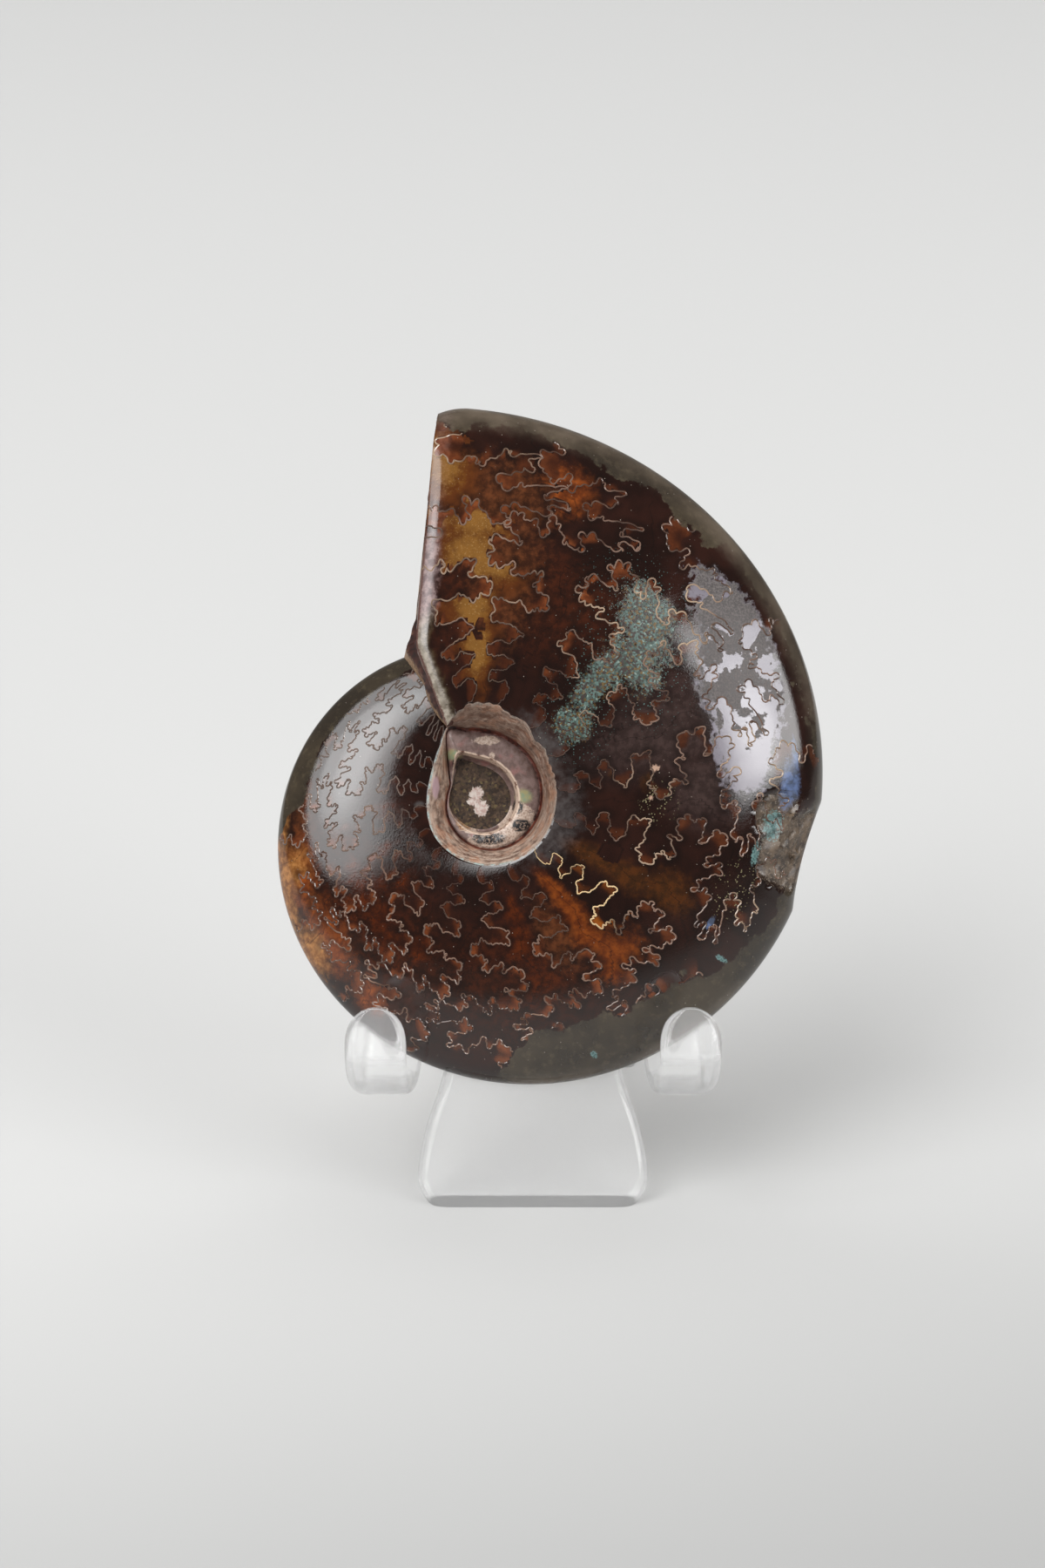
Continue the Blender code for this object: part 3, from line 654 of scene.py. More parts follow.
outwards = add(frill, "ShaderNodeMapRange", outwards, -0.3 * MM, 0.3 * MM, -1.0, 1.0)
walk = add(frill, STORE, walk, Name="outwards", Value=outwards)
dots = add(frill, "GeometryNodeCurveToPoints", walk, mode="EVALUATED")
index = add(frill, "GeometryNodeInputIndex")
stretch = add(frill, "FunctionNodeRandomValue", -1.0, 1.0, index, size_of["Seed"])
longer = add(frill, TIMES_PLUS, stretch, size_of["Stretch"], 1.0)
longer = add(frill, "ShaderNodeCombineXYZ", longer, 1.0, 1.0)
copies = add(frill, "GeometryNodeInstanceOnPoints", sizes, Instance=dots, Scale=longer)
copies = add(frill, STORE, copies, Name="line", Value=index, domain="INSTANCE")
walkers = add(frill, "GeometryNodeRealizeInstances", copies)
print("drawing and copying the line takes", len(frill.nodes), "nodes")

# %% Wander and crimp
line = add(frill, ATTRIBUTE, "line")
spot = add(frill, "GeometryNodeInputPosition")
apart = add(frill, "ShaderNodeCombineXYZ", 0.0, 0.0, add(frill, TIMES, line, 0.05))
noise_size = add(frill, OVER, 1.0, size_of["Wander size"])
noise_place = add(frill, VECTOR_MATH, spot, apart, operation="ADD")
noise_place = add(frill, VECTOR_MATH, noise_place, operation="SCALE", Scale=noise_size)
pull = add(frill, NOISE, noise_place, Scale=1.0, Detail=1.5).outputs["Color"]
pull = add(frill, VECTOR_MATH, pull, (-0.5, -0.5, -0.5), operation="ADD")
pull = add(frill, VECTOR_MATH, pull, operation="SCALE", Scale=size_of["Wander"])
pulled = add(frill, VECTOR_MATH, spot, pull, operation="ADD")
across = add(frill, ATTRIBUTE, "across")
beat = add(frill, TIMES, add(frill, NOISE, noise_place, Scale=0.6, Detail=0.0), 1.6)
waves = add(frill, TIMES_PLUS, across, size_of["Crimps"], beat)
waves = add(frill, TIMES, waves, math.pi)
lobes = add(frill, MATH, add(frill, MATH, waves, operation="SINE"), operation="ABSOLUTE")
# less their mean, so that they swing about the drawn line
lobes = add(frill, PLUS, lobes, -0.64)
grown_crimp = add(frill, "ShaderNodeMapRange", across, 0.1, 0.62, 0.42, 1.0)
uneven = add(frill, NOISE, noise_place, Scale=1.3, Detail=0.0)
uneven = add(frill, "ShaderNodeMapRange", uneven, 0.3, 0.7, 0.5, 1.3)
crimp = add(frill, TIMES, lobes, size_of["Crimp"])
for share_of_it in (uneven, grown_crimp, add(frill, ATTRIBUTE, "outwards")):
    crimp = add(frill, TIMES, crimp, share_of_it)
sideways_here = add(frill, ATTRIBUTE, "sideways", data_type="FLOAT_VECTOR")
crimped = add(frill, VECTOR_MATH, sideways_here, operation="SCALE", Scale=crimp)
pulled = add(frill, VECTOR_MATH, pulled, crimped, operation="ADD")
print("with the crimps it is", len(frill.nodes), "nodes")

# %% Carry the lines to the shell
flat_place = add(frill, "ShaderNodeSeparateXYZ", pulled)
line_growth = add(frill, OVER, flat_place.outputs["X"], size_of["Flat degree"])
from_start = add(frill, MINUS, line_growth, size_of["Sheet start"])
sheet_u = add(frill, OVER, from_start, size_of["Sheet span"])
sheet_v = add(frill, OVER, flat_place.outputs["Y"], size_of["Flat flank"])
sheet_place = add(frill, "ShaderNodeCombineXYZ", sheet_u, sheet_v, 0.0)

shell = add(frill, "GeometryNodeObjectInfo", size_of["Flank"]).outputs["Geometry"]
flat_uv = add(frill, ATTRIBUTE, "flat_sheet", data_type="FLOAT_VECTOR")
on_shell, upright, covered = [
    add(frill, "GeometryNodeSampleUVSurface", shell, wanted, flat_uv, sheet_place, data_type=kind)
    for wanted, kind in (
        (add(frill, "GeometryNodeInputPosition"), "FLOAT_VECTOR"),
        (add(frill, "GeometryNodeInputNormal"), "FLOAT_VECTOR"),
        (add(frill, ATTRIBUTE, "skin"), "FLOAT"),
    )
]
marked = walkers
for kind, name, value in (
    (STORE, "skin", covered),
    (STORE_WAY, "upright", upright),
    (STORE, "valid", on_shell.outputs["Is Valid"]),
    (STORE_WAY, "landing", on_shell),
):
    marked = add(frill, kind, marked, Name=name, Value=value)
off_shell = add(frill, MATH, add(frill, ATTRIBUTE, "valid"), 0.5, operation="LESS_THAN")
gaps = add(frill, "GeometryNodeAccumulateField", off_shell, line)
stretch_number = add(frill, TIMES_PLUS, line, 10000.0, gaps.outputs["Trailing"])
marked = add(frill, STORE, marked, Name="stretch", Value=stretch_number)
landing = add(frill, ATTRIBUTE, "landing", data_type="FLOAT_VECTOR")
placed = add(frill, "GeometryNodeSetPosition", marked, Position=landing)
kept = add(frill, "GeometryNodeDeleteGeometry", placed, off_shell)
curves = add(frill, "GeometryNodePointsToCurves", kept, add(frill, ATTRIBUTE, "stretch"))
normal_here = add(frill, ATTRIBUTE, "upright", data_type="FLOAT_VECTOR")
curves = add(frill, "GeometryNodeSetCurveNormal", curves, mode="FREE", Normal=normal_here)
print("the suture tree has", len(frill.nodes), "nodes so far")

# %% The rod along each line
# This radius makes each side of the triangle 1 long, so its scale is the width of a line.
profile = add(frill, "GeometryNodeCurvePrimitiveCircle", 3, mode="RADIUS", Radius=0.5774)
thickness = add(frill, "ShaderNodeMapRange", add(frill, ATTRIBUTE, "across"), 0.0, 0.35, 0.6, 1.0)
rod_width = add(frill, TIMES, thickness, size_of["Width"])
rods = add(frill, "GeometryNodeCurveToMesh", curves, profile, Scale=rod_width, Fill_Caps=True)
nearest = [
    add(frill, "GeometryNodeSampleNearestSurface", shell, add(frill, kind), data_type="FLOAT_VECTOR")
    for kind in ("GeometryNodeInputPosition", "GeometryNodeInputNormal")
]
corner = add(frill, MATH, add(frill, "GeometryNodeInputIndex"), 3.0, operation="MODULO")
is_low = add(frill, MATH, corner, 0.5, operation="LESS_THAN")
sunk_depth = add(frill, TIMES, size_of["Depth"], -1.0)
low_or_high = add(frill, "ShaderNodeMix", is_low, size_of["Lift"], sunk_depth)
offset = add(frill, VECTOR_MATH, nearest[1], operation="SCALE", Scale=low_or_high)
seated = add(frill, VECTOR_MATH, nearest[0], offset, operation="ADD")
sunk = add(frill, "GeometryNodeSetPosition", rods, Position=seated)
under_skin = add(frill, MATH, add(frill, ATTRIBUTE, "skin"), 0.0, operation="GREATER_THAN")
bare = add(frill, "GeometryNodeDeleteGeometry", sunk, under_skin)
real = add(frill, "GeometryNodeRealizeInstances", bare)
add(frill, "NodeGroupOutput", add(frill, "GeometryNodeSetMaterial", real, Material=size_of["Calcite"]))
sutures = grow("suture_lines", frill, suture_sizes, fronts)
sutures.data.shade_flat()  # their tops then shine with the polished face round them
bpy.data.objects.remove(one_line)

# %% [markdown]
# ## From flank to whole half
#
# The rolled flank is open at its navel, at its mouth and at its back. The navel is a funnel: the inner wall
# of the last whorl drops to a seam, the older whorl's pearly band bulges beyond it, and rough stone fills
# the first whorls. These are more rows of points inside each row of the flank, with their ridges and pits
# as real relief.

# %% Navel rows
WALL_STEPS, BAND_STEPS, PIT_STEPS, PIT_LEVEL = 12, 16, 9, 1.4
turn_at = growth[:, 0]
edge_xz = plan_of(flank_points[:, 0])
edge_radius = np.hypot(*(edge_xz - NAVEL_MIDDLE).T)
seam_radius, pit_radius = around(SEAM, turn_at), around(PIT_EDGE, turn_at)
top = -flank_points[:, 0, 1]
older = spiral(MOUTH_HALF_WIDTH, turn_at - 360) * 0.95
foot = older + (top - older) * np.exp(-(((turn_at - START) / 12.0) ** 2))


def navel_rows(radius_out, radius_in, height, steps, keep_first=False):
    """Rows of points from an outer to an inner radius; height gives the level at each share of the way."""
    rows = []
    for k in range(0 if keep_first else 1, steps + 1):
        t = k / steps
        plan = polar(NAVEL_MIDDLE, radius_out + (radius_in - radius_out) * t, turn_at)
        flat = np.stack([plan[:, 0], np.zeros(len(plan)), plan[:, 1]], axis=-1)
        flat[:, 1] = -height(t, flat)
        rows.append(flat)
    return rows


print("the navel's wall is up to", round(float((edge_radius - seam_radius).max()), 1), "mm wide")


# %% Heights in the navel
def wall_height(t, flat):
    """The inner wall of the last whorl drops to its seam, with ridges round the funnel."""
    wide = np.clip((edge_radius - seam_radius) / 1.5, 0.0, 1.0) * math.sin(math.pi * t)
    ridges = 0.05 * np.sin(2 * math.pi * (5 * t + 0.8 * mottle(flat, 6, 7)))
    return foot + (top - foot) * (1 - t**1.4) + wide * (ridges + 0.17 * mottle(flat, 1.2, 8))


def band_height(t, flat):
    """The older whorl swells between two grooves, with a crust on its lower right."""
    fall = float(smooth_step(0.72, 1.0, t))
    groove = 0.35 * math.exp(-((t / 0.09) ** 2)) + 0.2 * math.exp(-(((t - 0.86) / 0.07) ** 2))
    swell = 0.06 * foot * math.sin(math.pi * min(1.0, t / 0.86))
    crust = smooth_step(0.0, 1.0, 1 - np.abs((turn_at % 360) - 292) / 42) * math.sin(math.pi * t)
    rough = (0.03 + 0.16 * crust) * mottle(flat, 0.9, 9)
    return foot + swell - groove - (foot - PIT_LEVEL) * fall + rough * math.sin(math.pi * t)


def pit_height(t, flat):
    """The stone in the first whorls is rough and nearly level."""
    return PIT_LEVEL + 0.30 * mottle(flat, 1.1, 11) * min(1.0, 4 * t) * (1 - 0.8 * (t > 0.99))


wall = navel_rows(edge_radius, seam_radius, wall_height, WALL_STEPS)
band = navel_rows(seam_radius, pit_radius, band_height, BAND_STEPS)
pit = navel_rows(pit_radius, 0 * pit_radius, pit_height, PIT_STEPS)
pit[-1][:, 1] = pit[-1][:, 1].mean()
inner = np.stack((wall + band + pit)[::-1], axis=1)
half = np.concatenate([inner, flank_points], axis=1)
RINGS = half.shape[1]
print("the navel adds", inner.shape[1], "points inside each row's", FLANK_STEPS + 1, "points of the flank")

# %% [markdown]
# The mouth is where the saw went across the last whorl. Its face joins the flank's last row to the wall and
# the older whorl under it. The shell's thin walls stand at its two edges, and the softer filling between
# them is worn back into a groove, so the face is a strip of rows with the middle ones pushed in. Two rows
# with different counts of points are zipped together with triangles.


# %% Zip two rows together
MOUTH_STEPS = 150
# share of the way across, and how far pushed in
MOUTH_PROFILE = [(0.14, 0.0), (0.24, 0.75), (0.4, 1.0), (0.62, 1.0), (0.78, 0.8), (0.86, 0.0)]


def along_path(path, count):
    """Points evenly spaced along a path, without its two ends."""
    length = np.concatenate([[0], np.cumsum(np.linalg.norm(np.diff(path, axis=0), axis=1))])
    at = np.linspace(0, length[-1], count + 2)[1:-1]
    return np.stack([np.interp(at, length, path[:, k]) for k in range(3)], axis=-1)


def zip_rows(upper, lower, points):
    """Triangles between two rows of point numbers that share their first and last one."""
    faces, i, j = [], 0, 0
    while i < len(upper) - 1 or j < len(lower) - 1:
        ahead = i < len(upper) - 1
        if ahead and j < len(lower) - 1:
            if_ahead = np.linalg.norm(points[upper[i + 1]] - points[lower[j]])
            ahead = if_ahead <= np.linalg.norm(points[upper[i]] - points[lower[j + 1]])
        third = upper[i + 1] if ahead else lower[j + 1]
        faces.append((upper[i], third, lower[j]))
        i, j = (i + 1, j) if ahead else (i, j + 1)
    return [f for f in faces if len(set(f)) == 3]


print("the mouth's face has", len(MOUTH_PROFILE), "inner rows of", MOUTH_STEPS, "points")

# %% The mouth's face
points = list(half.reshape(-1, 3))
navel_share = np.full((TURN_STEPS + 1, RINGS), -1.0)
rows_in = np.arange(inner.shape[1])[::-1]  # counted inwards from the rim
wall_part, band_part = (rows_in + 1) / WALL_STEPS, 1 + (rows_in + 1 - WALL_STEPS) / BAND_STEPS
navel_share[:, : inner.shape[1]] = np.where(wall_part <= 1, wall_part, np.minimum(band_part, 2.0))
number = np.arange(len(points)).reshape(TURN_STEPS + 1, RINGS)
navel_ring = RINGS - FLANK_STEPS - 1
upper = list(number[-1, navel_ring:])
lower = [
    upper[0], *number[-1, navel_ring - 1 : navel_ring - 1 - WALL_STEPS : -1], *number[0, navel_ring + 1 :]
]
points.append(np.array([CLASP_RIM[0], 0.0, CLASP_RIM[1]]))
row_shares = [0.0]
clasp = len(points) - 1
lower += [clasp, upper[-1]]
upper_path = along_path(np.array([points[k] for k in upper]), MOUTH_STEPS)
lower_path = along_path(np.array([points[k] for k in lower]), MOUTH_STEPS)
gap = np.linalg.norm(upper_path - lower_path, axis=1)[:, None]
mouth_rows = []
for t, pushed in MOUTH_PROFILE:
    row = upper_path + (lower_path - upper_path) * t
    rough = np.minimum(0.1, 0.1 * gap) * mottle(row, 0.8, 13)[:, None]
    row[:, 0] += (pushed * np.minimum(0.9, 0.55 * gap) + rough)[:, 0]
    mouth_rows.append([upper[0], *range(len(points), len(points) + MOUTH_STEPS), upper[-1]])
    points += list(row)
    row_shares += [t] * MOUTH_STEPS
points = np.array(points)
navel_share = np.concatenate([navel_share.ravel(), np.full(len(points) - number.size, -1.0)])
mouth_share = np.concatenate([np.zeros(number.size), row_shares])
mouth_share[lower] = 1.0
mouth_faces = zip_rows(upper, mouth_rows[0], points) + zip_rows(mouth_rows[-1], lower, points)
for a, b in zip(mouth_rows, mouth_rows[1:]):
    mouth_faces += [(a[k], a[k + 1], b[k + 1], b[k]) for k in range(1, MOUTH_STEPS)]
    mouth_faces += [(a[0], a[1], b[1]), (a[-2], a[-1], b[-2])]
print(len(mouth_faces), "faces lie across the mouth")

# %% Faces and zones
whorl_faces = grid_faces(TURN_STEPS + 1, RINGS)
ring_of_face = np.tile(np.arange(RINGS - 1), TURN_STEPS)
FLANK, PEARL, MATRIX, MOUTH, SAWN = range(5)
zone = np.where(ring_of_face >= navel_ring, FLANK, np.where(ring_of_face >= PIT_STEPS, PEARL, MATRIX))
back = [int(k) for k in (*number[:, -1], clasp)]
faces = whorl_faces.tolist() + mouth_faces + [back]
zones = np.concatenate([zone, np.full(len(mouth_faces), MOUTH), [SAWN]])
print("the whole half has", len(points), "points and", len(faces), "faces")

# %% [markdown]
# ## What each point knows
#
# The finish reads a few facts from each point of the shell: its place in millimetres, how far it is from
# the nearest frilled line and on which side, and therefore in which chamber it lies. It also reads whether
# it lies inside the tip of a finger, because a glow is painted there, as of light shining through thin
# stone: the middle of a bent line always lies to the inside of its bend, so the way from the line to its
# own smoothed middle tells the inside.

# %% Distances to the frilled lines
def facts_from_lines(plan, lines):
    """Mm to the nearest line (above zero towards the mouth), the chamber, and how much inside a finger."""
    middle = (np.array([v.co for v in lines.vertices]) / MM).reshape(-1, 3, 3).mean(1)[:, [0, 2]]
    owner = get_attribute(lines, "line").reshape(-1, 3)[:, 0].round().astype(int)
    averages = []
    for span in (11, 30):  # the narrow one irons out the crimp
        total = np.zeros_like(middle)
        for step in range(-span, span + 1):
            k = np.clip(np.arange(len(middle)) + step, 0, len(middle) - 1)
            total += np.where((owner[k] == owner)[:, None], middle[k], middle) / (2 * span + 1)
        averages.append(total)
    bend = averages[1] - averages[0]
    tree = line_tree(middle)
    hits = [tree.find((x, z, 0.0)) for x, z in plan]
    found, distance = np.array([hit[1] for hit in hits]), np.array([hit[2] for hit in hits])
    ahead, behind = np.minimum(found + 2, len(middle) - 1), np.maximum(found - 2, 0)
    ahead = np.where(owner[ahead] == owner[found], ahead, found)
    behind = np.where(owner[behind] == owner[found], behind, found)
    way, away = middle[ahead] - middle[behind], plan - middle[found]
    side = np.where(way[:, 0] * away[:, 1] - way[:, 1] * away[:, 0] >= 0, 1.0, -1.0)
    tip = (bend[found] * away).sum(-1) / np.maximum(distance, 1e-6) / 0.4
    return side * distance, owner[found] + (side < 0), np.clip(tip, -1.0, 1.0)


def smooth_on_each_side(values, side, times):
    """Averages each grid point with its neighbours, those on the other side of a line left out."""
    for _ in range(times):
        total, weight = values.copy(), np.ones_like(values)
        for axis in (0, 1):
            for step in (-1, 1):
                same = np.roll(side, step, axis) == side
                total, weight = total + np.where(same, np.roll(values, step, axis), 0), weight + same
        values = total / weight
    return values


# %% Chambers and fingers
to_line, chamber_of, tip_of = facts_from_lines(plan_of(flat_points), sutures.data)
grid_of = (TURN_STEPS + 1, FLANK_STEPS + 1)
tip_of = smooth_on_each_side(tip_of.reshape(grid_of), to_line.reshape(grid_of) > 0, 4).ravel()
farthest = round(float(np.abs(to_line).max()), 1)
print("points are up to", farthest, "mm from a line; the last chamber is number", chamber_of.max())

# %% [markdown]
# ## Where the stone changes
#
# The chambers aren't one brown. Some hold honey-coloured calcite and some amber, the stone to the right of
# the navel is a smoky lilac, a crust of green-blue mineral lies across it, and a part of the right side is
# frosted. Each stain is a set of soft ovals on the flat sheet, given as growth angle, share, half length in
# degrees and half width as a share. A stain with a chamber's number stops at that chamber's walls, which is
# what makes the frilled outlines stand out in front of it.

# %% Stains
STAINS = [  # (kind, chamber or None, ovals)
    ("honey", 1, [
        (452, 0.63, 9, 0.13), (457, 0.68, 7, 0.13), (453, 0.48, 10, 0.16), (447, 0.47, 7, 0.09),
        (453, 0.33, 8, 0.2), (451.5, 0.18, 7, 0.16)
    ]),
    ("honey", 0, [(457.5, 0.8, 5, 0.14)]),
    ("gold_edge", 12, [(195, 0.92, 8, 0.17)]),
    ("gold_edge", 11, [(217, 0.94, 8, 0.14), (236, 0.9, 5, 0.08)]),
    ("rust_glow", None, [(196, 0.86, 13, 0.14), (217, 0.82, 15, 0.15), (236, 0.86, 7, 0.09)]),
    ("chestnut", None, [(216, 0.52, 13, 0.2), (235, 0.6, 12, 0.12)]),
    ("rust_glow", 2, [(436.5, 0.78, 6, 0.11)]),
    ("rust_glow", 1, [(436.5, 0.78, 6, 0.11)]),
    ("amber", 7, [
        (313, 0.54, 10, 0.12), (308.5, 0.58, 6, 0.09), (310, 0.43, 8, 0.14), (310.5, 0.31, 7, 0.16),
        (311, 0.19, 6, 0.15)
    ]),
    ("chestnut", 8, [(287, 0.5, 8, 0.16), (285.5, 0.36, 7, 0.14), (287, 0.22, 6, 0.14)]),
    ("amber", 10, [(237, 0.81, 7, 0.08)]),
    ("chestnut", 10, [(245, 0.5, 5, 0.12)]),
    ("chestnut", 11, [(229, 0.72, 9, 0.1), (226, 0.52, 7, 0.12), (224, 0.33, 6, 0.16), (213, 0.8, 6, 0.08)]),
    ("chestnut", 12, [(211, 0.71, 8, 0.11), (206.5, 0.53, 7, 0.12), (203, 0.32, 5, 0.14)]),
    ("chestnut", 13, [(190, 0.6, 7, 0.14), (182, 0.3, 6, 0.2)]),
    ("toffee", None, [
        (445, 0.42, 11, 0.3), (447, 0.7, 12, 0.16), (180, 0.83, 14, 0.09), (205, 0.84, 16, 0.09),
        (300, 0.35, 9, 0.2)
    ]),
    ("olive_glass", 6, [(336, 0.52, 8, 0.15), (335, 0.36, 7, 0.17), (336, 0.2, 7, 0.17)]),
    ("olive_glass", 5, [(374, 0.24, 5, 0.05), (369, 0.36, 5, 0.06)]),
    ("smoke", None, [(384, 0.4, 20, 0.42), (366, 0.55, 14, 0.2)]),
    ("warm", None, [
        (205, 0.72, 30, 0.42), (235, 0.6, 30, 0.35), (280, 0.55, 34, 0.35), (428, 0.4, 18, 0.24),
        (460, 0.5, 12, 0.4)
    ]),
    ("gold_edge", None, [(186, 0.99, 14, 0.08), (205, 0.99, 22, 0.07)]),
    ("fire", None, [(321, 0.24, 14, 0.17), (322, 0.4, 10, 0.1)]),
    ("pale_edge", None, [(400, 1.01, 50, 0.1), (445, 1.01, 40, 0.11), (300, 1.0, 50, 0.06)]),
    ("turquoise", None, [
        (410.5, 0.6, 9, 0.08), (408, 0.53, 11, 0.08), (404, 0.44, 11, 0.09), (407.5, 0.34, 7, 0.1),
        (407, 0.25, 7, 0.09), (401, 0.13, 11, 0.08)
    ]),
    ("frosted", None, [(395, 0.8, 16, 0.12), (386, 0.74, 16, 0.16), (376, 0.7, 13, 0.12)]),
    # The blue ovals at 366 and 371 degrees are blue fire in flakes by the chip; the one at 334 degrees is a
    # painted glint.
    ("blue_fire", None, [(366, 0.87, 6, 0.045), (371, 0.89, 5, 0.014), (334, 0.73, 2.2, 0.015)]),
    ("copper_streak", None, [
        (328.4, 0.855, 0.7, 0.03), (293.5, 0.9, 0.8, 0.022), (358, 0.83, 3.5, 0.045), (352, 0.78, 3, 0.02)
    ]),
    ("pale_dots", None, [(373.2, 0.367, 1.5, 0.022), (363.6, 0.35, 1.2, 0.014)]),
    ("dot_rows", None, [(343, 0.75, 8, 0.09), (362, 0.38, 8, 0.08)]),
    ("haze", None, [(345, 0.0, 45, 0.13), (181, 0.05, 4, 0.05), (400, 0.0, 30, 0.08)]),
]
print(len(STAINS), "stains")

# %% How far inside each stain the points lie
# where each point of the flank lies on the flat sheet
on_sheet = np.stack([flank_growth, flank_share], axis=-1)
stains = {}
for kind, chamber, spots in STAINS:
    inside = soft_spots(on_sheet, spots)
    if chamber is not None:
        inside = np.where(chamber_of == chamber, inside, -9.0)
    stains[kind] = np.maximum(stains.get(kind, -9.0), inside)
print("they are of", len(stains), "kinds")

# %% Spots in the navel
NAVEL_SPOTS = {  # middle x and z, half width and half height in mm
    "crust": [(-1.7, 2.7, 0.8, 0.8), (-1.2, 1.1, 0.8, 0.9), (-2.2, 1.8, 0.5, 0.5)],
    "chalk": [
        (-0.6, 8.5, 1.6, 0.5), (0.0, 6.8, 0.4, 0.4), (2.7, -0.5, 2.3, 2.2), (0.3, -2.5, 3.2, 1.0),
        (-2.4, -0.7, 1.2, 1.0)
    ],
    "dark_specks": [
        (2.8, 1.2, 0.7, 0.9), (-0.4, -2.2, 2.2, 0.8), (-3.6, 6.0, 1.0, 0.7), (3.2, -0.8, 1.2, 0.8)
    ],
    "ochre": [(-3.0, -0.5, 1.1, 1.0)],
    "green_fire": [(3.5, 2.4, 1.2, 1.0), (-4.3, 6.9, 1.3, 0.8)],
    "pink_fire": [(-6.1, 3.4, 0.5, 1.6)],
}
print("the navel has", sum(len(spots) for spots in NAVEL_SPOTS.values()), "spots")

# %% Facts on the shell's points
mesh = bpy.data.meshes.new("ammonite_shell")
mesh.from_pydata((points * MM).tolist(), [], faces)


def on_every_point(values, fill=0.0):
    """Values of the flank's points, with a filler for every other point of the half."""
    every = np.full(len(points), fill)
    grid = np.full((TURN_STEPS + 1, RINGS), fill)
    grid[:, navel_ring:] = np.asarray(values).reshape(TURN_STEPS + 1, FLANK_STEPS + 1)
    every[: grid.size] = grid.ravel()
    return every


edge_tree = line_tree(points[number[-1, navel_ring:]][:, [0, 2]])
from_mouth = np.array([edge_tree.find((x, z, 0.0))[2] for x, z in plan_of(points)])
set_attribute(mesh, "plan", points * [1, -1, 1], "FLOAT_VECTOR")
set_attribute(mesh, "to_line", on_every_point(to_line, 9.0))
set_attribute(mesh, "tip", on_every_point(tip_of))
set_attribute(mesh, "skin", on_every_point(skin, -9.0))
set_attribute(mesh, "share", on_every_point(flank_share, -1.0))
row_growth = np.full(len(points), MOUTH_ANGLE)
row_growth[: number.size] = np.repeat(turn_at, RINGS)
on_flank = on_every_point(np.ones(flank_growth.size)) > 0
row_growth = np.where(on_flank, on_every_point(flank_growth), row_growth)
set_attribute(mesh, "growth", row_growth)
set_attribute(mesh, "from_mouth", from_mouth)
set_attribute(mesh, "chipped", on_every_point(chipped, -9.0))
set_attribute(mesh, "navel", navel_share)
set_attribute(mesh, "mouth_share", mouth_share)
for name, inside in stains.items():
    set_attribute(mesh, name, on_every_point(inside, -9.0))
for name, spots in NAVEL_SPOTS.items():
    set_attribute(mesh, name, soft_spots(plan_of(points), spots))
print("each point knows", len(mesh.attributes), "things")

# %% Close the mesh and lean it back
mesh.polygons.foreach_set("material_index", zones.astype(np.int32))
shape = bmesh.new()
shape.from_mesh(mesh)
bmesh.ops.remove_doubles(shape, verts=shape.verts, dist=1e-5 * MM)
bmesh.ops.dissolve_degenerate(shape, edges=shape.edges, dist=1e-5 * MM)
bmesh.ops.recalc_face_normals(shape, faces=shape.faces)
open_edges = sum(1 for e in shape.edges if not e.is_manifold)
shape.to_mesh(mesh)
shape.free()
mesh.transform(TO_EASEL)
sutures.data.transform(TO_EASEL)
shell_piece = put("ammonite_shell", mesh)
bpy.data.objects.remove(flank)
mesh.shade_smooth()
mesh.set_sharp_from_angle(angle=math.radians(38))
print("the shell has", len(mesh.polygons), "faces and", open_edges, "open edges")

# %% [markdown]
# ## The acrylic easel
#
# The real stand is one sheet of clear acrylic: a foot, two strips that are freed by slots and bent forward
# into hooks, and a back leg bent over the top. Its edges are flame polished, so they are melted round. It
# is made here the way it is in the workshop, from a flat cutting plan whose rows of points follow the bent
# middle line, each point on both faces of the sheet. Subdivision rounds the edges, and both feet are then
# trimmed flat.

# %% Cutting plan
SHEET, EDGE_INSET = 3.2, 2.3
FOOT_OUTLINE = [
    (-2.5, 8.6), (0.5, 11.9), (2.4, 12.9), (4.6, 12.75), (6.7, 12.4), (8.9, 11.9), (11.0, 11.2),
    (14.0, 10.1), (17.0, 9.6), (21.0, 9.4), (26.0, 9.4),
]
SLOT_END, STRIP_WIDTH, STRIP_INNER_BACK, STRIP_INNER_TIP = 31.0, 6.85, 11.6, 13.6
LEDGE_TOP, LEDGE_RISE, HOOK_GAP, TIP_TOP, TIP_RADIUS = 15.5, math.radians(11.0), 8.5, 22.6, 3.3
TIP_TURNS = [math.radians(degrees) for degrees in (0, 28, 52, 70, 84)]
BEND_RADIUS, SPLAY_START = 3.0, -7.0
SHOULDERS, PANEL_TOP, PANEL_TOP_HALF_WIDTH = [(36.0, 18.2), (41.0, 15.6)], 47.0, 12.2
FOLD_RADIUS, FOLD_STEPS, FOLD_HALF_WIDTH = 4.2, 4, 11.0
LEG_SPREAD, LEG_FOOT_HALF_WIDTH = math.radians(23.0), 12.5
LEG_ROWS = [0.3, 0.65, 0.93, 1.06]
STRIP_OUTER = STRIP_INNER_BACK + STRIP_WIDTH
print("the easel is cut from a sheet", SHEET, "mm thick, and each hook strip is", STRIP_WIDTH, "mm wide")

# %% The bent middle line
def sheet_line(up):
    """The sheet's middle in the upright plane, as (back, up), and the direction of its front face."""
    front = (-math.cos(LEAN), math.sin(LEAN))
    return (up * math.sin(LEAN) - SHEET / 2 * front[0], up * math.cos(LEAN) - SHEET / 2 * front[1]), front


def fold_line(turn):
    """The fold over the top, after this much of its turn."""
    (y, z), front = sheet_line(PANEL_TOP)
    normal = (-math.cos(LEAN + turn), math.sin(LEAN + turn))
    return (y + FOLD_RADIUS * (normal[0] - front[0]), z + FOLD_RADIUS * (normal[1] - front[1])), normal


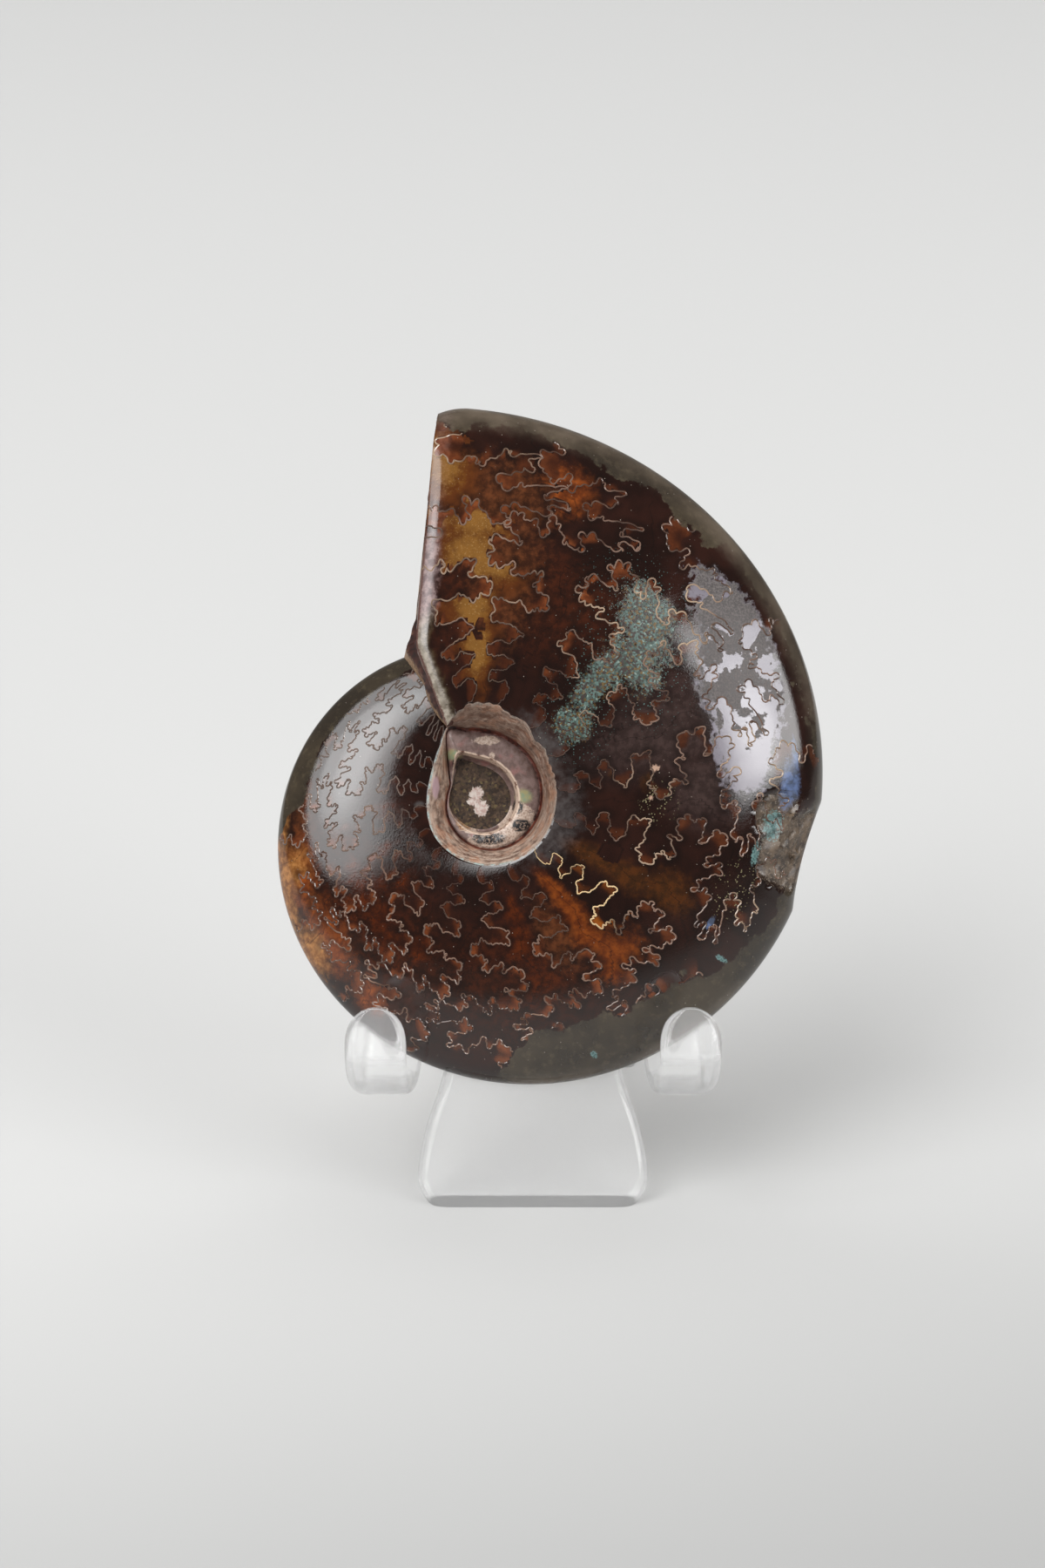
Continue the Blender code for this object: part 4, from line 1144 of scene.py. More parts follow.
def leg_line(down):
    """The back leg, this far below the fold."""
    (y, z), normal = fold_line(math.pi - LEAN - LEG_SPREAD)
    return (y + down * math.sin(LEG_SPREAD), z - down * math.cos(LEG_SPREAD)), normal


print("the fold ends", round(leg_line(0.0)[0][1], 1), "mm above the table")


# %% The hooks' middle line
def hook_bends():
    """A hook strip's stretches as (length, turn): a bend, the ledge, a bend and the tip."""
    first, second = math.pi / 2 + LEDGE_RISE, math.pi / 2 - LEDGE_RISE
    ledge = (HOOK_GAP + SHEET - 2 * BEND_RADIUS, 0.0)
    return [(BEND_RADIUS * first, first), ledge, (BEND_RADIUS * second, second), (math.inf, 0.0)]


def hook_line(travel):
    """The hook strip's middle, this far along from the start of its first bend."""
    out, up, heading = -SHEET / 2, LEDGE_TOP - SHEET / 2 + BEND_RADIUS - min(0.0, travel), 0.0
    for length, turn in hook_bends():
        part = min(max(travel, 0.0), length)
        end = heading + (part / BEND_RADIUS if turn else 0.0)
        if turn:
            out += BEND_RADIUS * (math.cos(heading) - math.cos(end))
            up -= BEND_RADIUS * (math.sin(end) - math.sin(heading))
        else:
            out += part * math.sin(heading)
            up -= part * math.cos(heading)
        heading, travel = end, travel - part
        if travel <= 0:
            break
    forward, above = math.cos(heading), math.sin(heading)
    place, facing = [
        (high * math.sin(LEAN) - far * math.cos(LEAN), high * math.cos(LEAN) + far * math.sin(LEAN))
        for far, high in ((out, up), (forward, above))
    ]
    return place, facing


def edge_columns(inner, outer, inside=EDGE_INSET):
    """Columns at a strip's two edges and just inside them, which keep its melted edges narrow."""
    return [inner, inner + inside, outer - inside, outer]


print("a hook strip has", len(hook_bends()), "stretches")

# %% Rows of the sheet
cage_points, cage_faces, cage_sides = [], [], []


def add_row(line, across):
    """Adds a row of points on both faces of the sheet, and returns their numbers in pairs."""
    (y, z), (ny, nz) = line
    row = []
    for x in across:
        row.append((len(cage_points), len(cage_points) + 1))
        cage_points.extend((x, y + side * ny, z + side * nz) for side in (SHEET / 2, -SHEET / 2))
    return row


def join_rows(lower, upper):
    """Faces between two rows on both faces of the sheet; their sides are noted for the cut edges."""
    for (a, c), (b, d) in zip(zip(lower, upper), zip(lower[1:], upper[1:])):
        cage_faces.extend([(a[0], b[0], d[0], c[0]), (a[1], c[1], d[1], b[1])])
        cage_sides.extend([(a, b), (d, c), (b, d), (c, a)])


def foot_across(up):
    """The columns of the foot at this height."""
    half = float(np.interp(up, *np.array(FOOT_OUTLINE).T))
    return [-half, EDGE_INSET - half, 0.0, half - EDGE_INSET, half]


def whole_across(half):
    """The columns of the whole sheet, squeezed to this half width."""
    strip = edge_columns(STRIP_INNER_BACK, STRIP_OUTER)
    return [x * half / STRIP_OUTER for x in (*[-x for x in reversed(strip)], *foot_across(SLOT_END), *strip)]


rows = [add_row(sheet_line(up), foot_across(up)) for up, _ in FOOT_OUTLINE]
slot_row = add_row(sheet_line(SLOT_END), whole_across(STRIP_OUTER))
for lower_row, upper_row in zip(rows, rows[1:] + [slot_row[4:9]]):
    join_rows(lower_row, upper_row)
print("the foot and the slots' ends have", len(cage_points), "points")

# %% Hook strips
bend, ledge, second = [length for length, _ in hook_bends()[:3]]
upright = bend + ledge + second
(tip_y, tip_z), _ = hook_line(upright)
tip_end = upright + TIP_TOP - (tip_y * math.sin(LEAN) + tip_z * math.cos(LEAN))
bend_ends = (0.0, bend / 2, bend, bend + ledge / 2, bend + ledge, upright - second / 2, upright)
travels = [(travel, 1.0) for travel in (SPLAY_START, -EDGE_INSET, *bend_ends)]
travels += [(tip_end - TIP_RADIUS * (1 - math.sin(turn)), math.cos(turn)) for turn in TIP_TURNS]
for side, row_before in ((-1, slot_row[3::-1]), (1, slot_row[9:])):
    for travel, width in travels:
        splay = (STRIP_INNER_TIP - STRIP_INNER_BACK) * float(smooth_step(SPLAY_START, upright, travel))
        centre, half_strip = STRIP_INNER_BACK + splay + STRIP_WIDTH / 2, STRIP_WIDTH / 2 * width
        columns = edge_columns(centre - half_strip, centre + half_strip, min(EDGE_INSET, 0.6 * half_strip))
        row = add_row(hook_line(travel), [side * x for x in columns])
        join_rows(*((row, row_before) if side == 1 else (row_before, row)))
        row_before = row
print("with its hooks it has", len(cage_points))

# %% Shoulders, fold and leg
leg_length = leg_line(0.0)[0][1] / math.cos(LEG_SPREAD)
fold_turn = math.pi - LEAN - LEG_SPREAD
lines = [(sheet_line(up), half) for up, half in (*SHOULDERS, (PANEL_TOP, PANEL_TOP_HALF_WIDTH))]
lines += [(fold_line(fold_turn * k / FOLD_STEPS), FOLD_HALF_WIDTH) for k in range(1, FOLD_STEPS + 1)]
leg_widening = LEG_FOOT_HALF_WIDTH - FOLD_HALF_WIDTH
lines += [(leg_line(down * leg_length), FOLD_HALF_WIDTH + leg_widening * down) for down in LEG_ROWS]
row_before = slot_row
for line, half_across in lines:
    row = add_row(line, whole_across(half_across))
    join_rows(row_before, row)
    row_before = row
sides = set(cage_sides)
cage_faces += [(b[0], a[0], a[1], b[1]) for a, b in cage_sides if (b, a) not in sides]
print("the cutting plan has", len(cage_points), "points")

# %% Round the edges and trim the feet
EASEL_LEVELS = 3
easel_mesh = bpy.data.meshes.new("clear_easel")
easel_mesh.from_pydata([tuple(c * MM for c in p) for p in cage_points], [], cage_faces)
easel = put("clear_easel", easel_mesh)
rounding = easel.modifiers.new("melted_edges", "SUBSURF")
rounding.levels = rounding.render_levels = EASEL_LEVELS
easel.data = bpy.data.meshes.new_from_object(easel.evaluated_get(bpy.context.evaluated_depsgraph_get()))
easel.modifiers.clear()
shape = bmesh.new()
shape.from_mesh(easel.data)
everything = [*shape.verts, *shape.edges, *shape.faces]
table_top = {"plane_co": (0, 0, 0), "plane_no": (0, 0, -1)}
cut = bmesh.ops.bisect_plane(shape, geom=everything, clear_outer=True, **table_top)
bmesh.ops.edgeloop_fill(shape, edges=[e for e in cut["geom_cut"] if isinstance(e, bmesh.types.BMEdge)])
bmesh.ops.recalc_face_normals(shape, faces=shape.faces)
bmesh.ops.translate(shape, vec=BENCH * MM, verts=shape.verts)
open_edges = sum(1 for e in shape.edges if not e.is_manifold)
print("the easel has", len(shape.faces), "faces and", open_edges, "open edges")
shape.to_mesh(easel.data)
shape.free()
easel.data.shade_smooth()
easel.data.set_sharp_from_angle(angle=math.radians(50))

# %% [markdown]
# ## Studio
#
# The set stands on a pale table top that reaches far back, with a pale wall behind it. Two soft lights
# stand at the sides, a large round one on the left and a wide one on the right, and a third hangs overhead:
# it keeps the table even and isn't mirrored in anything. A lamp behind a cloth lights its middle most, so
# each cloth is built from nested parts that add up. Polished stone shows the cloths as soft windows, so
# their places are worked out as seen from the fossil: azimuth, elevation, the two angles each one fills,
# how bright it is and how far it is rolled.
#
# The stone mirrors the table top too. The board's colour holds painted shade: it is painted darker towards
# the front and the right, and its far front, which the lamps hardly reach, is painted down to grey: a dark
# stone only looks deep when it has something dim to mirror.

# %% Table and wall
# The second and third board tones are painted shade.
BOARD, BOARD_IN_SHADE, BOARD_FRONT_PAINTED_DARK = "#b7b7b6", "#8e8e8d", "#4e4e4d"
TABLE_NEAR, TABLE_FAR, TABLE_HALF_WIDTH, WALL_BEND, WALL_TOP = -4.5, 5.0, 6.0, 1.5, 5.0  # metres
BEND_STEPS = 16
profile_line = [(TABLE_NEAR, 0.0), (TABLE_FAR, 0.0)]
for a in np.linspace(0, math.pi / 2, BEND_STEPS + 1)[1:]:
    profile_line.append((TABLE_FAR + WALL_BEND * math.sin(a), WALL_BEND * (1 - math.cos(a))))
profile_line.append((TABLE_FAR + WALL_BEND, WALL_TOP))
table_points = [(x, y, z) for y, z in profile_line for x in (-TABLE_HALF_WIDTH, TABLE_HALF_WIDTH)]
table_faces = [(2 * k, 2 * k + 1, 2 * k + 3, 2 * k + 2) for k in range(len(profile_line) - 1)]
table_mesh = bpy.data.meshes.new("pale_table")
table_mesh.from_pydata(table_points, [], table_faces)
table = put("pale_table", table_mesh)
table_mesh.shade_smooth()
print("the table is", TABLE_FAR - TABLE_NEAR, "m deep")

# %% Matt board
SIDE_PULL, SHADE_SPAN, FRONT_SPAN = 0.45, (-0.03, 0.19), (-0.11, -0.24)  # the last two in metres
card = bpy.data.materials.new("pale_matt_board")  # painted board: dull, with hardly any shine
card.use_nodes = True
shader, node = card.node_tree.nodes["Principled BSDF"], functools.partial(add, card.node_tree)
spot = node("ShaderNodeSeparateXYZ", node("ShaderNodeTexCoord").outputs["Object"])
aside = node(TIMES, spot.outputs["X"], SIDE_PULL)
nearer = node(MINUS, aside, spot.outputs["Y"])
# Painted shade: the board is painted darker towards the front and the right, and darker still at its far
# front.
board = node(LAYER, node(SOFT, nearer, *SHADE_SPAN), BOARD, BOARD_IN_SHADE)
board = node(LAYER, node(SOFT, spot.outputs["Y"], *FRONT_SPAN), board, BOARD_FRONT_PAINTED_DARK)
feed(shader.inputs["Base Color"], board)
shader.inputs["Roughness"].default_value = 0.9
shader.inputs["Specular IOR Level"].default_value = 0.1
table_mesh.materials.append(card)
print("the board goes from", BOARD, "to", BOARD_FRONT_PAINTED_DARK)

# %% Cloths
CLOTHS = {  # azimuth, elevation, width and height in degrees, brightness, roll, shape
    "left_cloth": [
        (-40.2, 38.4, 48.0, 59.0, 4.2, 21.0, "ELLIPSE"),
        (-35.7, 34.7, 32.0, 33.0, 2.8, 0.0, "ELLIPSE"),
        (-31.3, 33.6, 16.0, 22.0, 2.3, -9.0, "ELLIPSE"),
    ],
    "right_cloth": [
        (52.0, 21.5, 40.0, 24.0, 6.0, 0.0, "RECTANGLE"), (44.0, 18.0, 17.0, 13.0, 4.0, 0.0, "ELLIPSE")
    ],
}
TOP_CLOTH = (180.0, 78.0, 80.0, 60.0, 2.0, 0.0, "RECTANGLE")
ROOM, ROOM_LIGHT = "#e8eaee", 0.14
LIT_POINT, BOX_DISTANCE, PART_GAP = Vector((0.0, -0.008, 0.045)), 4.0, 0.03  # metres
print("the cloths have", sum(len(parts) for parts in CLOTHS.values()), "parts")


# %% Hang the lights
def soft_box(name, azimuth, elevation, width, height, radiance, roll, shape, distance=BOX_DISTANCE):
    """An area light that fills these degrees as seen from the fossil; azimuth 0 is the viewer's side."""
    a, e = math.radians(azimuth), math.radians(elevation)
    way = Vector((math.sin(a) * math.cos(e), -math.cos(a) * math.cos(e), math.sin(e)))
    lamp = bpy.data.lights.new(name, "AREA")
    lamp.shape = shape
    lamp.size = 2 * distance * math.tan(math.radians(width / 2))
    lamp.size_y = 2 * distance * math.tan(math.radians(height / 2))
    area = lamp.size * lamp.size_y * (math.pi / 4 if shape == "ELLIPSE" else 1.0)
    lamp.energy = radiance * math.pi * area
    box = put(name, lamp)
    box.location = LIT_POINT + way * distance
    box.rotation_euler = (way.to_track_quat("Z", "Y") @ Quaternion((0, 0, 1), math.radians(roll))).to_euler()
    print(name, "is", round(lamp.size, 2), "by", round(lamp.size_y, 2), "m")
    return box


for name, parts in CLOTHS.items():
    for part, cloth in enumerate(parts):
        soft_box(f"{name}_{part + 1}", *cloth, distance=BOX_DISTANCE - PART_GAP * part)
soft_box("top_cloth", *TOP_CLOTH).visible_glossy = False  # it only fills
room = bpy.data.worlds.new("dim_room")
room.use_nodes = True
room.node_tree.nodes["Background"].inputs["Color"].default_value = paint(ROOM)
room.node_tree.nodes["Background"].inputs["Strength"].default_value = ROOM_LIGHT
bpy.context.scene.world = room
bpy.context.scene.view_settings.view_transform = "Standard"

# %% Camera
CAMERA_DISTANCE, LENS, SENSOR = 450.0, 93.75, 36.0  # mm
AIM_ASIDE, AIM_UP = -1.152, 46.656  # mm on the easel's front sheet
front = Vector((0.0, -math.cos(LEAN), math.sin(LEAN)))
up_sheet = Vector((0.0, math.sin(LEAN), math.cos(LEAN)))
aim = BENCH + Vector((AIM_ASIDE, 0.0, 0.0)) + up_sheet * AIM_UP
camera = put("camera", bpy.data.cameras.new("camera"))
camera.data.lens = LENS
camera.data.sensor_width = SENSOR
camera.data.clip_start, camera.data.clip_end = 0.01, 20.0
camera.location = (aim + front * CAMERA_DISTANCE) * MM
camera.rotation_euler = (-front).to_track_quat("-Z", "Y").to_euler()
bpy.context.scene.camera = camera
print("the camera looks down by", round(math.degrees(math.asin(front.z)), 1), "degrees")

# %% [markdown]
# ## Finishes
#
# Calcite is a glassy stone. Ground and polished it looks deep and wet: a dark body that lets a little light
# in, under one clear reflection. Every finish reads the shell's own millimetres, which were stored on its
# points, so that the size of a grain or a stain is the real one; the nodes for noise and cells count in
# those millimetres too. Three helpers keep the trees readable: one starts a finish and hands back its node
# adder, one makes a mask from a patch and breaks its border up with a pattern, and one runs a pattern
# between two tones.

# %% Finish helpers
def finish(name, *facts):
    """A material, its own node adder, its Principled shader, the shell's millimetres and the named facts."""
    material = bpy.data.materials.get(name) or bpy.data.materials.new(name)
    material.use_nodes = True
    node = functools.partial(add, material.node_tree)
    place = node(READ, attribute_name="plan").outputs["Vector"]
    known = {fact: node(READ, attribute_name=fact).outputs["Fac"] for fact in facts}
    return material, node, material.node_tree.nodes["Principled BSDF"], place, known


def ragged(node, value, pattern, swing, low, high):
    """A patch whose border is moved in and out by a pattern that lies round 0.5."""
    moved = node(TIMES_PLUS, node(PLUS, pattern, -0.5), swing, value)
    return node(SOFT, moved, low, high)


def two_tone(node, pattern, low, high, tone_low, tone_high):
    """A colour that changes softly from one tone to another as a pattern rises from low to high."""
    return node(LAYER, node(SOFT, pattern, low, high), tone_low, tone_high)


print("a warm brown of #8a4c20 is", [round(part, 3) for part in paint("#8a4c20")[:3]], "as linear light")

# %% [markdown]
# ** Polished chambered calcite.** What is left of the shell is its filling: brown calcite whose chambers run
# from nearly black to honey. Inside the fingers of a wall the stone is thin, and a warm brown glow is
# painted into its colour there, as of light shining through it. The colours are mixed from the deepest to
# the topmost: chamber, stain, painted glow, frost, crust, skin.

# %% Chambers
# Ground and polished calcite is glassy: one clear reflection, and calcite's own index of about 1.6.
polished_stone, node, stone, mm, known = finish(
    "polished_chambered_calcite", "to_line", "tip", "share", "warm", "toffee", "smoke", "olive_glass",
    "chestnut", "amber", "rust_glow", "honey", "gold_edge", "fire", "frosted", "growth", "turquoise",
    "haze", "skin", "pale_edge", "chipped", "copper_streak", "blue_fire", "dot_rows", "pale_dots",
    "from_mouth"
)
cloud = node(NOISE, mm, Scale=0.16, Detail=3.0, Roughness=0.5)
fine = node(NOISE, mm, Scale=1.1, Detail=5.0, Roughness=0.62)
grain = node(NOISE, mm, Scale=4.5, Detail=3.0, Roughness=0.7)
line_at, tip_at, share_at = known["to_line"], known["tip"], known["share"]
near_line = node(MATH, line_at, operation="ABSOLUTE")
chamber = two_tone(node, cloud, 0.36, 0.64, "#170a07", "#251310")
CHAMBER_TONES = [  # stain, its border's pattern, swing and levels, then the grain's levels and its two tones
    ("warm", cloud, 1.4, -0.3, 0.7, 0.4, 0.65, "#22100a", "#35190e"),
    ("toffee", fine, 1.0, -0.1, 0.8, 0.35, 0.7, "#331c0f", "#553321"),
    ("smoke", cloud, 0.8, -0.1, 0.9, 0.4, 0.65, "#2b201e", "#3a2d2b"),
    ("olive_glass", fine, 0.8, -0.1, 0.75, 0.35, 0.65, "#2e1c0c", "#42260f"),
    ("chestnut", fine, 0.9, -0.1, 0.85, 0.35, 0.7, "#2c1207", "#482008"),
    ("amber", fine, 0.9, -0.1, 0.8, 0.35, 0.7, "#4a220a", "#6c3a15"),
    ("rust_glow", fine, 0.6, -0.1, 0.9, 0.3, 0.75, "#5c2d12", "#8a4c20"),
]
for stain, border, swing, low, high, *grain_tones in CHAMBER_TONES:
    patch = ragged(node, known[stain], border, swing, low, high)
    chamber = node(LAYER, patch, chamber, two_tone(node, fine, *grain_tones))
honey_tone = two_tone(node, fine, 0.3, 0.7, "#3a2410", "#654720")
honey_tone = node(LAYER, node(SOFT, known["honey"], 0.3, 0.75, 0.0, 0.7), honey_tone, "#74582f")
honey_tone = node(LAYER, node(SOFT, grain, 0.55, 0.7, 0.0, 0.8), honey_tone, "#8a7452")
chamber = node(LAYER, ragged(node, known["honey"], fine, 0.9, -0.6, 0.3), chamber, "#4c2a10")
chamber = node(LAYER, ragged(node, known["honey"], fine, 0.9, 0.0, 0.7), chamber, honey_tone)
gold = two_tone(node, fine, 0.35, 0.7, "#6e4a28", "#a17a50")
chamber = node(LAYER, ragged(node, known["gold_edge"], fine, 0.8, -0.1, 0.8), chamber, gold)
print("the chambers use", len(polished_stone.node_tree.nodes), "nodes")

# %% Painted glow in the fingers
shade = node(BOTH, node(SOFT, near_line, 1.0, 0.1), node(SOFT, tip_at, 0.05, -0.35, 0.0, 0.55))
chamber = node(LAYER, node(BOTH, shade, node(SOFT, known["honey"], 0.4, 0.0)), chamber, "#0e0705")
# Painted glow: inside a finger's tip the stone is painted a warmer brown, lightest next to its line, as if
# light shone through the thin stone.
in_finger = node(BOTH, node(SOFT, near_line, 2.6, 0.3), node(SOFT, tip_at, 0.0, 0.3))
painted_glow_fill = node(LAYER, in_finger, chamber, "#2e160c")
painted_glow = node(BOTH, node(SOFT, near_line, 1.3, 0.0), node(SOFT, tip_at, 0.0, 0.5))
painted_glow = node(BOTH, painted_glow, node(SOFT, known["warm"], -0.7, 0.35, 0.36, 0.95))
painted_glow = node(BOTH, painted_glow, node(SOFT, share_at, 0.06, 0.3, 0.3, 1.0))
painted_glow_tone = two_tone(node, fine, 0.3, 0.7, "#502a19", "#74442a")
painted_glow_tone = node(LAYER, node(SOFT, known["fire"], 0.0, 0.4), painted_glow_tone, "#9a5c1e")
with_painted_glow = node(LAYER, painted_glow, painted_glow_fill, painted_glow_tone)
BROWN_FILTER = (1.0, 0.82, 0.58, 1.0)  # what passes through clear brown calcite, as linear light
clear_brown = node(SOFT, known["smoke"], 0.4, -0.1, 0.2, 1.0)
with_painted_glow = node(LAYER, clear_brown, with_painted_glow, BROWN_FILTER, blend_type="MULTIPLY")
print("with the fingers it is", len(polished_stone.node_tree.nodes))

# %% [markdown]
# On the right a frost of fine cracks scatters light to a smooth lilac grey; in islands between the fingers
# it is granular and dull. A crust of green-blue copper mineral lies there in a band of grains that thins
# out at its borders. The skin left along the outer edge is olive and smooth, and the chip in it shows brown
# flaky stone. At the mouth the worn shell is milky. Dust specks are bright dots, drawn at 0.15 mm.

# %% Frost and crust
cells = node(VORONOI, mm, Scale=4.6, Randomness=1.0)
cell_luck = node("ShaderNodeSeparateColor", cells.outputs["Color"])
grains = node(LAYER, node(SOFT, cell_luck.outputs["Red"], 0.45, 0.6), "#33423b", "#4c605a")
grains = node(LAYER, node(SOFT, cell_luck.outputs["Green"], 0.74, 0.77), grains, "#57431f")
grains = node(LAYER, node(SOFT, cell_luck.outputs["Blue"], 0.66, 0.7), grains, "#2c211b")
grains = node(LAYER, node(SOFT, cell_luck.outputs["Green"], 0.05, 0.03), grains, "#6f8078")
frost_mask = ragged(node, known["frosted"], fine, 1.1, 0.0, 0.2)
in_leaf = node(BOTH, node(SOFT, line_at, 0.0, -0.1), node(SOFT, tip_at, -0.1, 0.15))
islands = node(NOISE, mm, Scale=0.42, Detail=4.0, Roughness=0.6)
islands = node(TIMES_PLUS, known["growth"], 0.011, islands)
granular = node(BOTH, node(SOFT, islands, 4.73, 4.76), node(SOFT, in_leaf, 0.6, 0.4))
granular = node(BOTH, granular, frost_mask)
frost_tone = node(LAYER, granular, "#6f6a72", two_tone(node, grain, 0.4, 0.62, "#2a2321", "#57504e"))
frosty = node(LAYER, frost_mask, with_painted_glow, frost_tone)
crust_mask = ragged(node, known["turquoise"], node(LAYER, 0.5, fine, grain), 2.6, 0.05, 0.45)
crust_mask = node(BOTH, crust_mask, node(SOFT, cell_luck.outputs["Blue"], 0.0, 0.3, 0.7, 0.95))
crusted = node(LAYER, crust_mask, frosty, grains)
specks = node(
    BOTH, node(SOFT, known["turquoise"], -1.3, 0.3), node(SOFT, cells.outputs["Distance"], 0.36, 0.22)
)
specks = node(BOTH, specks, node(SOFT, cell_luck.outputs["Red"], 0.8, 0.84))
crusted = node(LAYER, specks, crusted, "#4f6a66")
haze = node(BOTH, ragged(node, known["haze"], fine, 0.9, -0.1, 0.8), node(SOFT, fine, 0.3, 0.7, 0.4, 0.9))
crusted = node(LAYER, haze, crusted, "#45403f")
print("with frost and crust it is", len(polished_stone.node_tree.nodes))

# %% Skin, chip and small marks
skin_mask = ragged(node, known["skin"], fine, 0.7, -0.02, 0.1)
skin_tone = two_tone(node, cloud, 0.35, 0.65, "#29231c", "#3a3227")
skin_tone = node(LAYER, node(SOFT, fine, 0.5, 0.75, 0.0, 0.6), skin_tone, "#4c4334")
skin_tone = node(LAYER, node(SOFT, grain, 0.62, 0.7, 0.0, 0.5), skin_tone, "#1f1a15")
skinned = node(LAYER, skin_mask, crusted, skin_tone)
pale_scuff = two_tone(node, cloud, 0.35, 0.65, "#3d342a", "#5d5246")
skinned = node(LAYER, ragged(node, known["pale_edge"], fine, 0.35, 0.0, 0.9), skinned, pale_scuff)
flakes = two_tone(node, fine, 0.35, 0.65, "#2f241b", "#5d4d3d")
flakes = node(LAYER, node(SOFT, grain, 0.55, 0.65), flakes, "#75695b")
chip_mask = ragged(node, known["chipped"], grain, 0.5, 0.0, 0.2)
skinned = node(LAYER, chip_mask, skinned, flakes)
streak = node(BOTH, ragged(node, known["copper_streak"], grain, 1.6, 0.05, 0.3), node(SOFT, fine, 0.35, 0.5))
skinned = node(LAYER, streak, skinned, two_tone(node, grain, 0.4, 0.6, "#34504f", "#5f7a78"))
blue = two_tone(node, fine, 0.4, 0.6, "#3c4455", "#566587")
# Blue fire in flakes by the chip, and in one small oval a painted glint.
skinned = node(LAYER, ragged(node, known["blue_fire"], grain, 0.8, 0.0, 0.5), skinned, blue)
dots = node(BOTH, node(SOFT, known["dot_rows"], -0.1, 0.4), node(SOFT, cells.outputs["Distance"], 0.4, 0.3))
dots = node(BOTH, dots, node(SOFT, cell_luck.outputs["Green"], 0.7, 0.74))
skinned = node(LAYER, dots, skinned, "#6d664c")
skinned = node(LAYER, ragged(node, known["pale_dots"], grain, 1.2, 0.1, 0.5), skinned, "#a08371")
print("with the skin it is", len(polished_stone.node_tree.nodes))

# %% Dust and the worn mouth
dust_cells = node(VORONOI, mm, Scale=1.7, Randomness=1.0)
dust_luck = node("ShaderNodeSeparateColor", dust_cells.outputs["Color"])
dust = node(
    BOTH, node(SOFT, dust_cells.outputs["Distance"], 0.11, 0.06),
    node(SOFT, dust_luck.outputs["Red"], 0.62, 0.66)
)
dust = node(BOTH, dust, node(SOFT, dust_luck.outputs["Green"], 0.0, 1.0, 0.2, 1.0))
dusty = node(LAYER, dust, skinned, "#8b8278")
from_mouth_at = known["from_mouth"]
low_part = node(SOFT, share_at, 0.36, 0.26)
from_edge = node(TIMES_PLUS, low_part, 0.6, from_mouth_at)
worn_mask = node(
    BOTH, node(SOFT, known["growth"], 380.0, 400.0), ragged(node, from_edge, fine, -1.6, 2.4, 0.8)
)
worn_mask = node(BOTH, worn_mask, node(SOFT, share_at, 0.62, 0.5, 0.12, 1.0))
rosy_milk = two_tone(node, fine, 0.4, 0.62, "#54403f", "#846f6d")
milk = node(LAYER, low_part, rosy_milk, two_tone(node, fine, 0.35, 0.65, "#6d6354", "#958c7f"))
milk = node(LAYER, node(BOTH, node(SOFT, from_mouth_at, 0.9, 1.6), low_part), milk, "#4e4629")
milk = node(LAYER, ragged(node, from_mouth_at, grain, -0.6, 0.32, 0.12), milk, "#4a2a20")
feed(stone.inputs["Base Color"], node(LAYER, worn_mask, dusty, milk))
print("with the worn mouth it is", len(polished_stone.node_tree.nodes))

# %% Gloss and bump
POLISH, GRANULAR = 0.06, 0.5  # roughness of the polished face, and what the granular frost adds to it
MORE_DULL = ((frost_mask, 0.06), (crust_mask, 0.3), (worn_mask, 0.38), (chip_mask, 0.4))
dull = node(BOTH, granular, node(SOFT, grain, 0.35, 0.6, 0.5, 1.0))
dull = node(TIMES_PLUS, dull, GRANULAR, POLISH)
for mask, extra in MORE_DULL:
    dull = node(TIMES_PLUS, mask, extra, dull)
stretched = node(VECTOR_MATH, mm, (0.5, 0.5, 4.0), operation="MULTIPLY")  # scratches run along x
scratched = node(NOISE, stretched, Scale=1.0, Detail=4.0, Roughness=0.7, Distortion=1.5)
dull = node(TIMES_PLUS, node(SOFT, scratched, 0.5, 0.7), 0.07, dull, use_clamp=True)
feed(stone.inputs["Roughness"], dull)
pits = node(TIMES, cells.outputs["Distance"], -1.6)
pits = node(TIMES_PLUS, crust_mask, pits, grain)
feed(stone.inputs["Normal"], node("ShaderNodeBump", Height=pits, Strength=0.12, Distance=0.05 * MM))
stone.inputs["IOR"].default_value = 1.6
print("the whole finish uses", len(polished_stone.node_tree.nodes), "nodes")

# %% [markdown]
# ** Septum edges.** The walls between the chambers are pale calcite a fifth of a millimetre thick, polished
# flush with the stone. Here and there a painted highlight lightens one, more so near the mouth. They darken
# towards the navel, the lines of the oldest chambers, which lie under the left light's reflection, are
# painted a light grey as painted reflection, and one line near the bottom right is bright as far as the
# middle of the flank.

# %% Septum edges
# Pale calcite under the same polish as the stone round it, so it shines as the stone does.
BRIGHT_LINE = 6.0
septum, node, shader, _, known = finish("calcite_septum_edge", "line", "across")
spot = node("ShaderNodeTexCoord").outputs["Object"]
pale = node(NOISE, spot, Scale=350.0, Detail=2.0)
broad = node(NOISE, spot, Scale=90.0, Detail=1.0)
line_tone = two_tone(node, pale, 0.4, 0.65, "#46332a", "#755d50")
# Painted highlight: here and there a line is painted lighter, as where it would catch the light, more so near
# the mouth.
painted_glint = node(BOTH, node(SOFT, broad, 0.5, 0.68), node(SOFT, pale, 0.3, 0.6))
painted_glint = node(BOTH, painted_glint, node(SOFT, known["line"], 7.6, 5.4, 0.1, 1.0))
line_tone = node(LAYER, painted_glint, line_tone, "#a28c76")
line_tone = node(LAYER, node(SOFT, known["across"], 0.3, 0.05, 0.0, 0.8), line_tone, "#3b2c27")
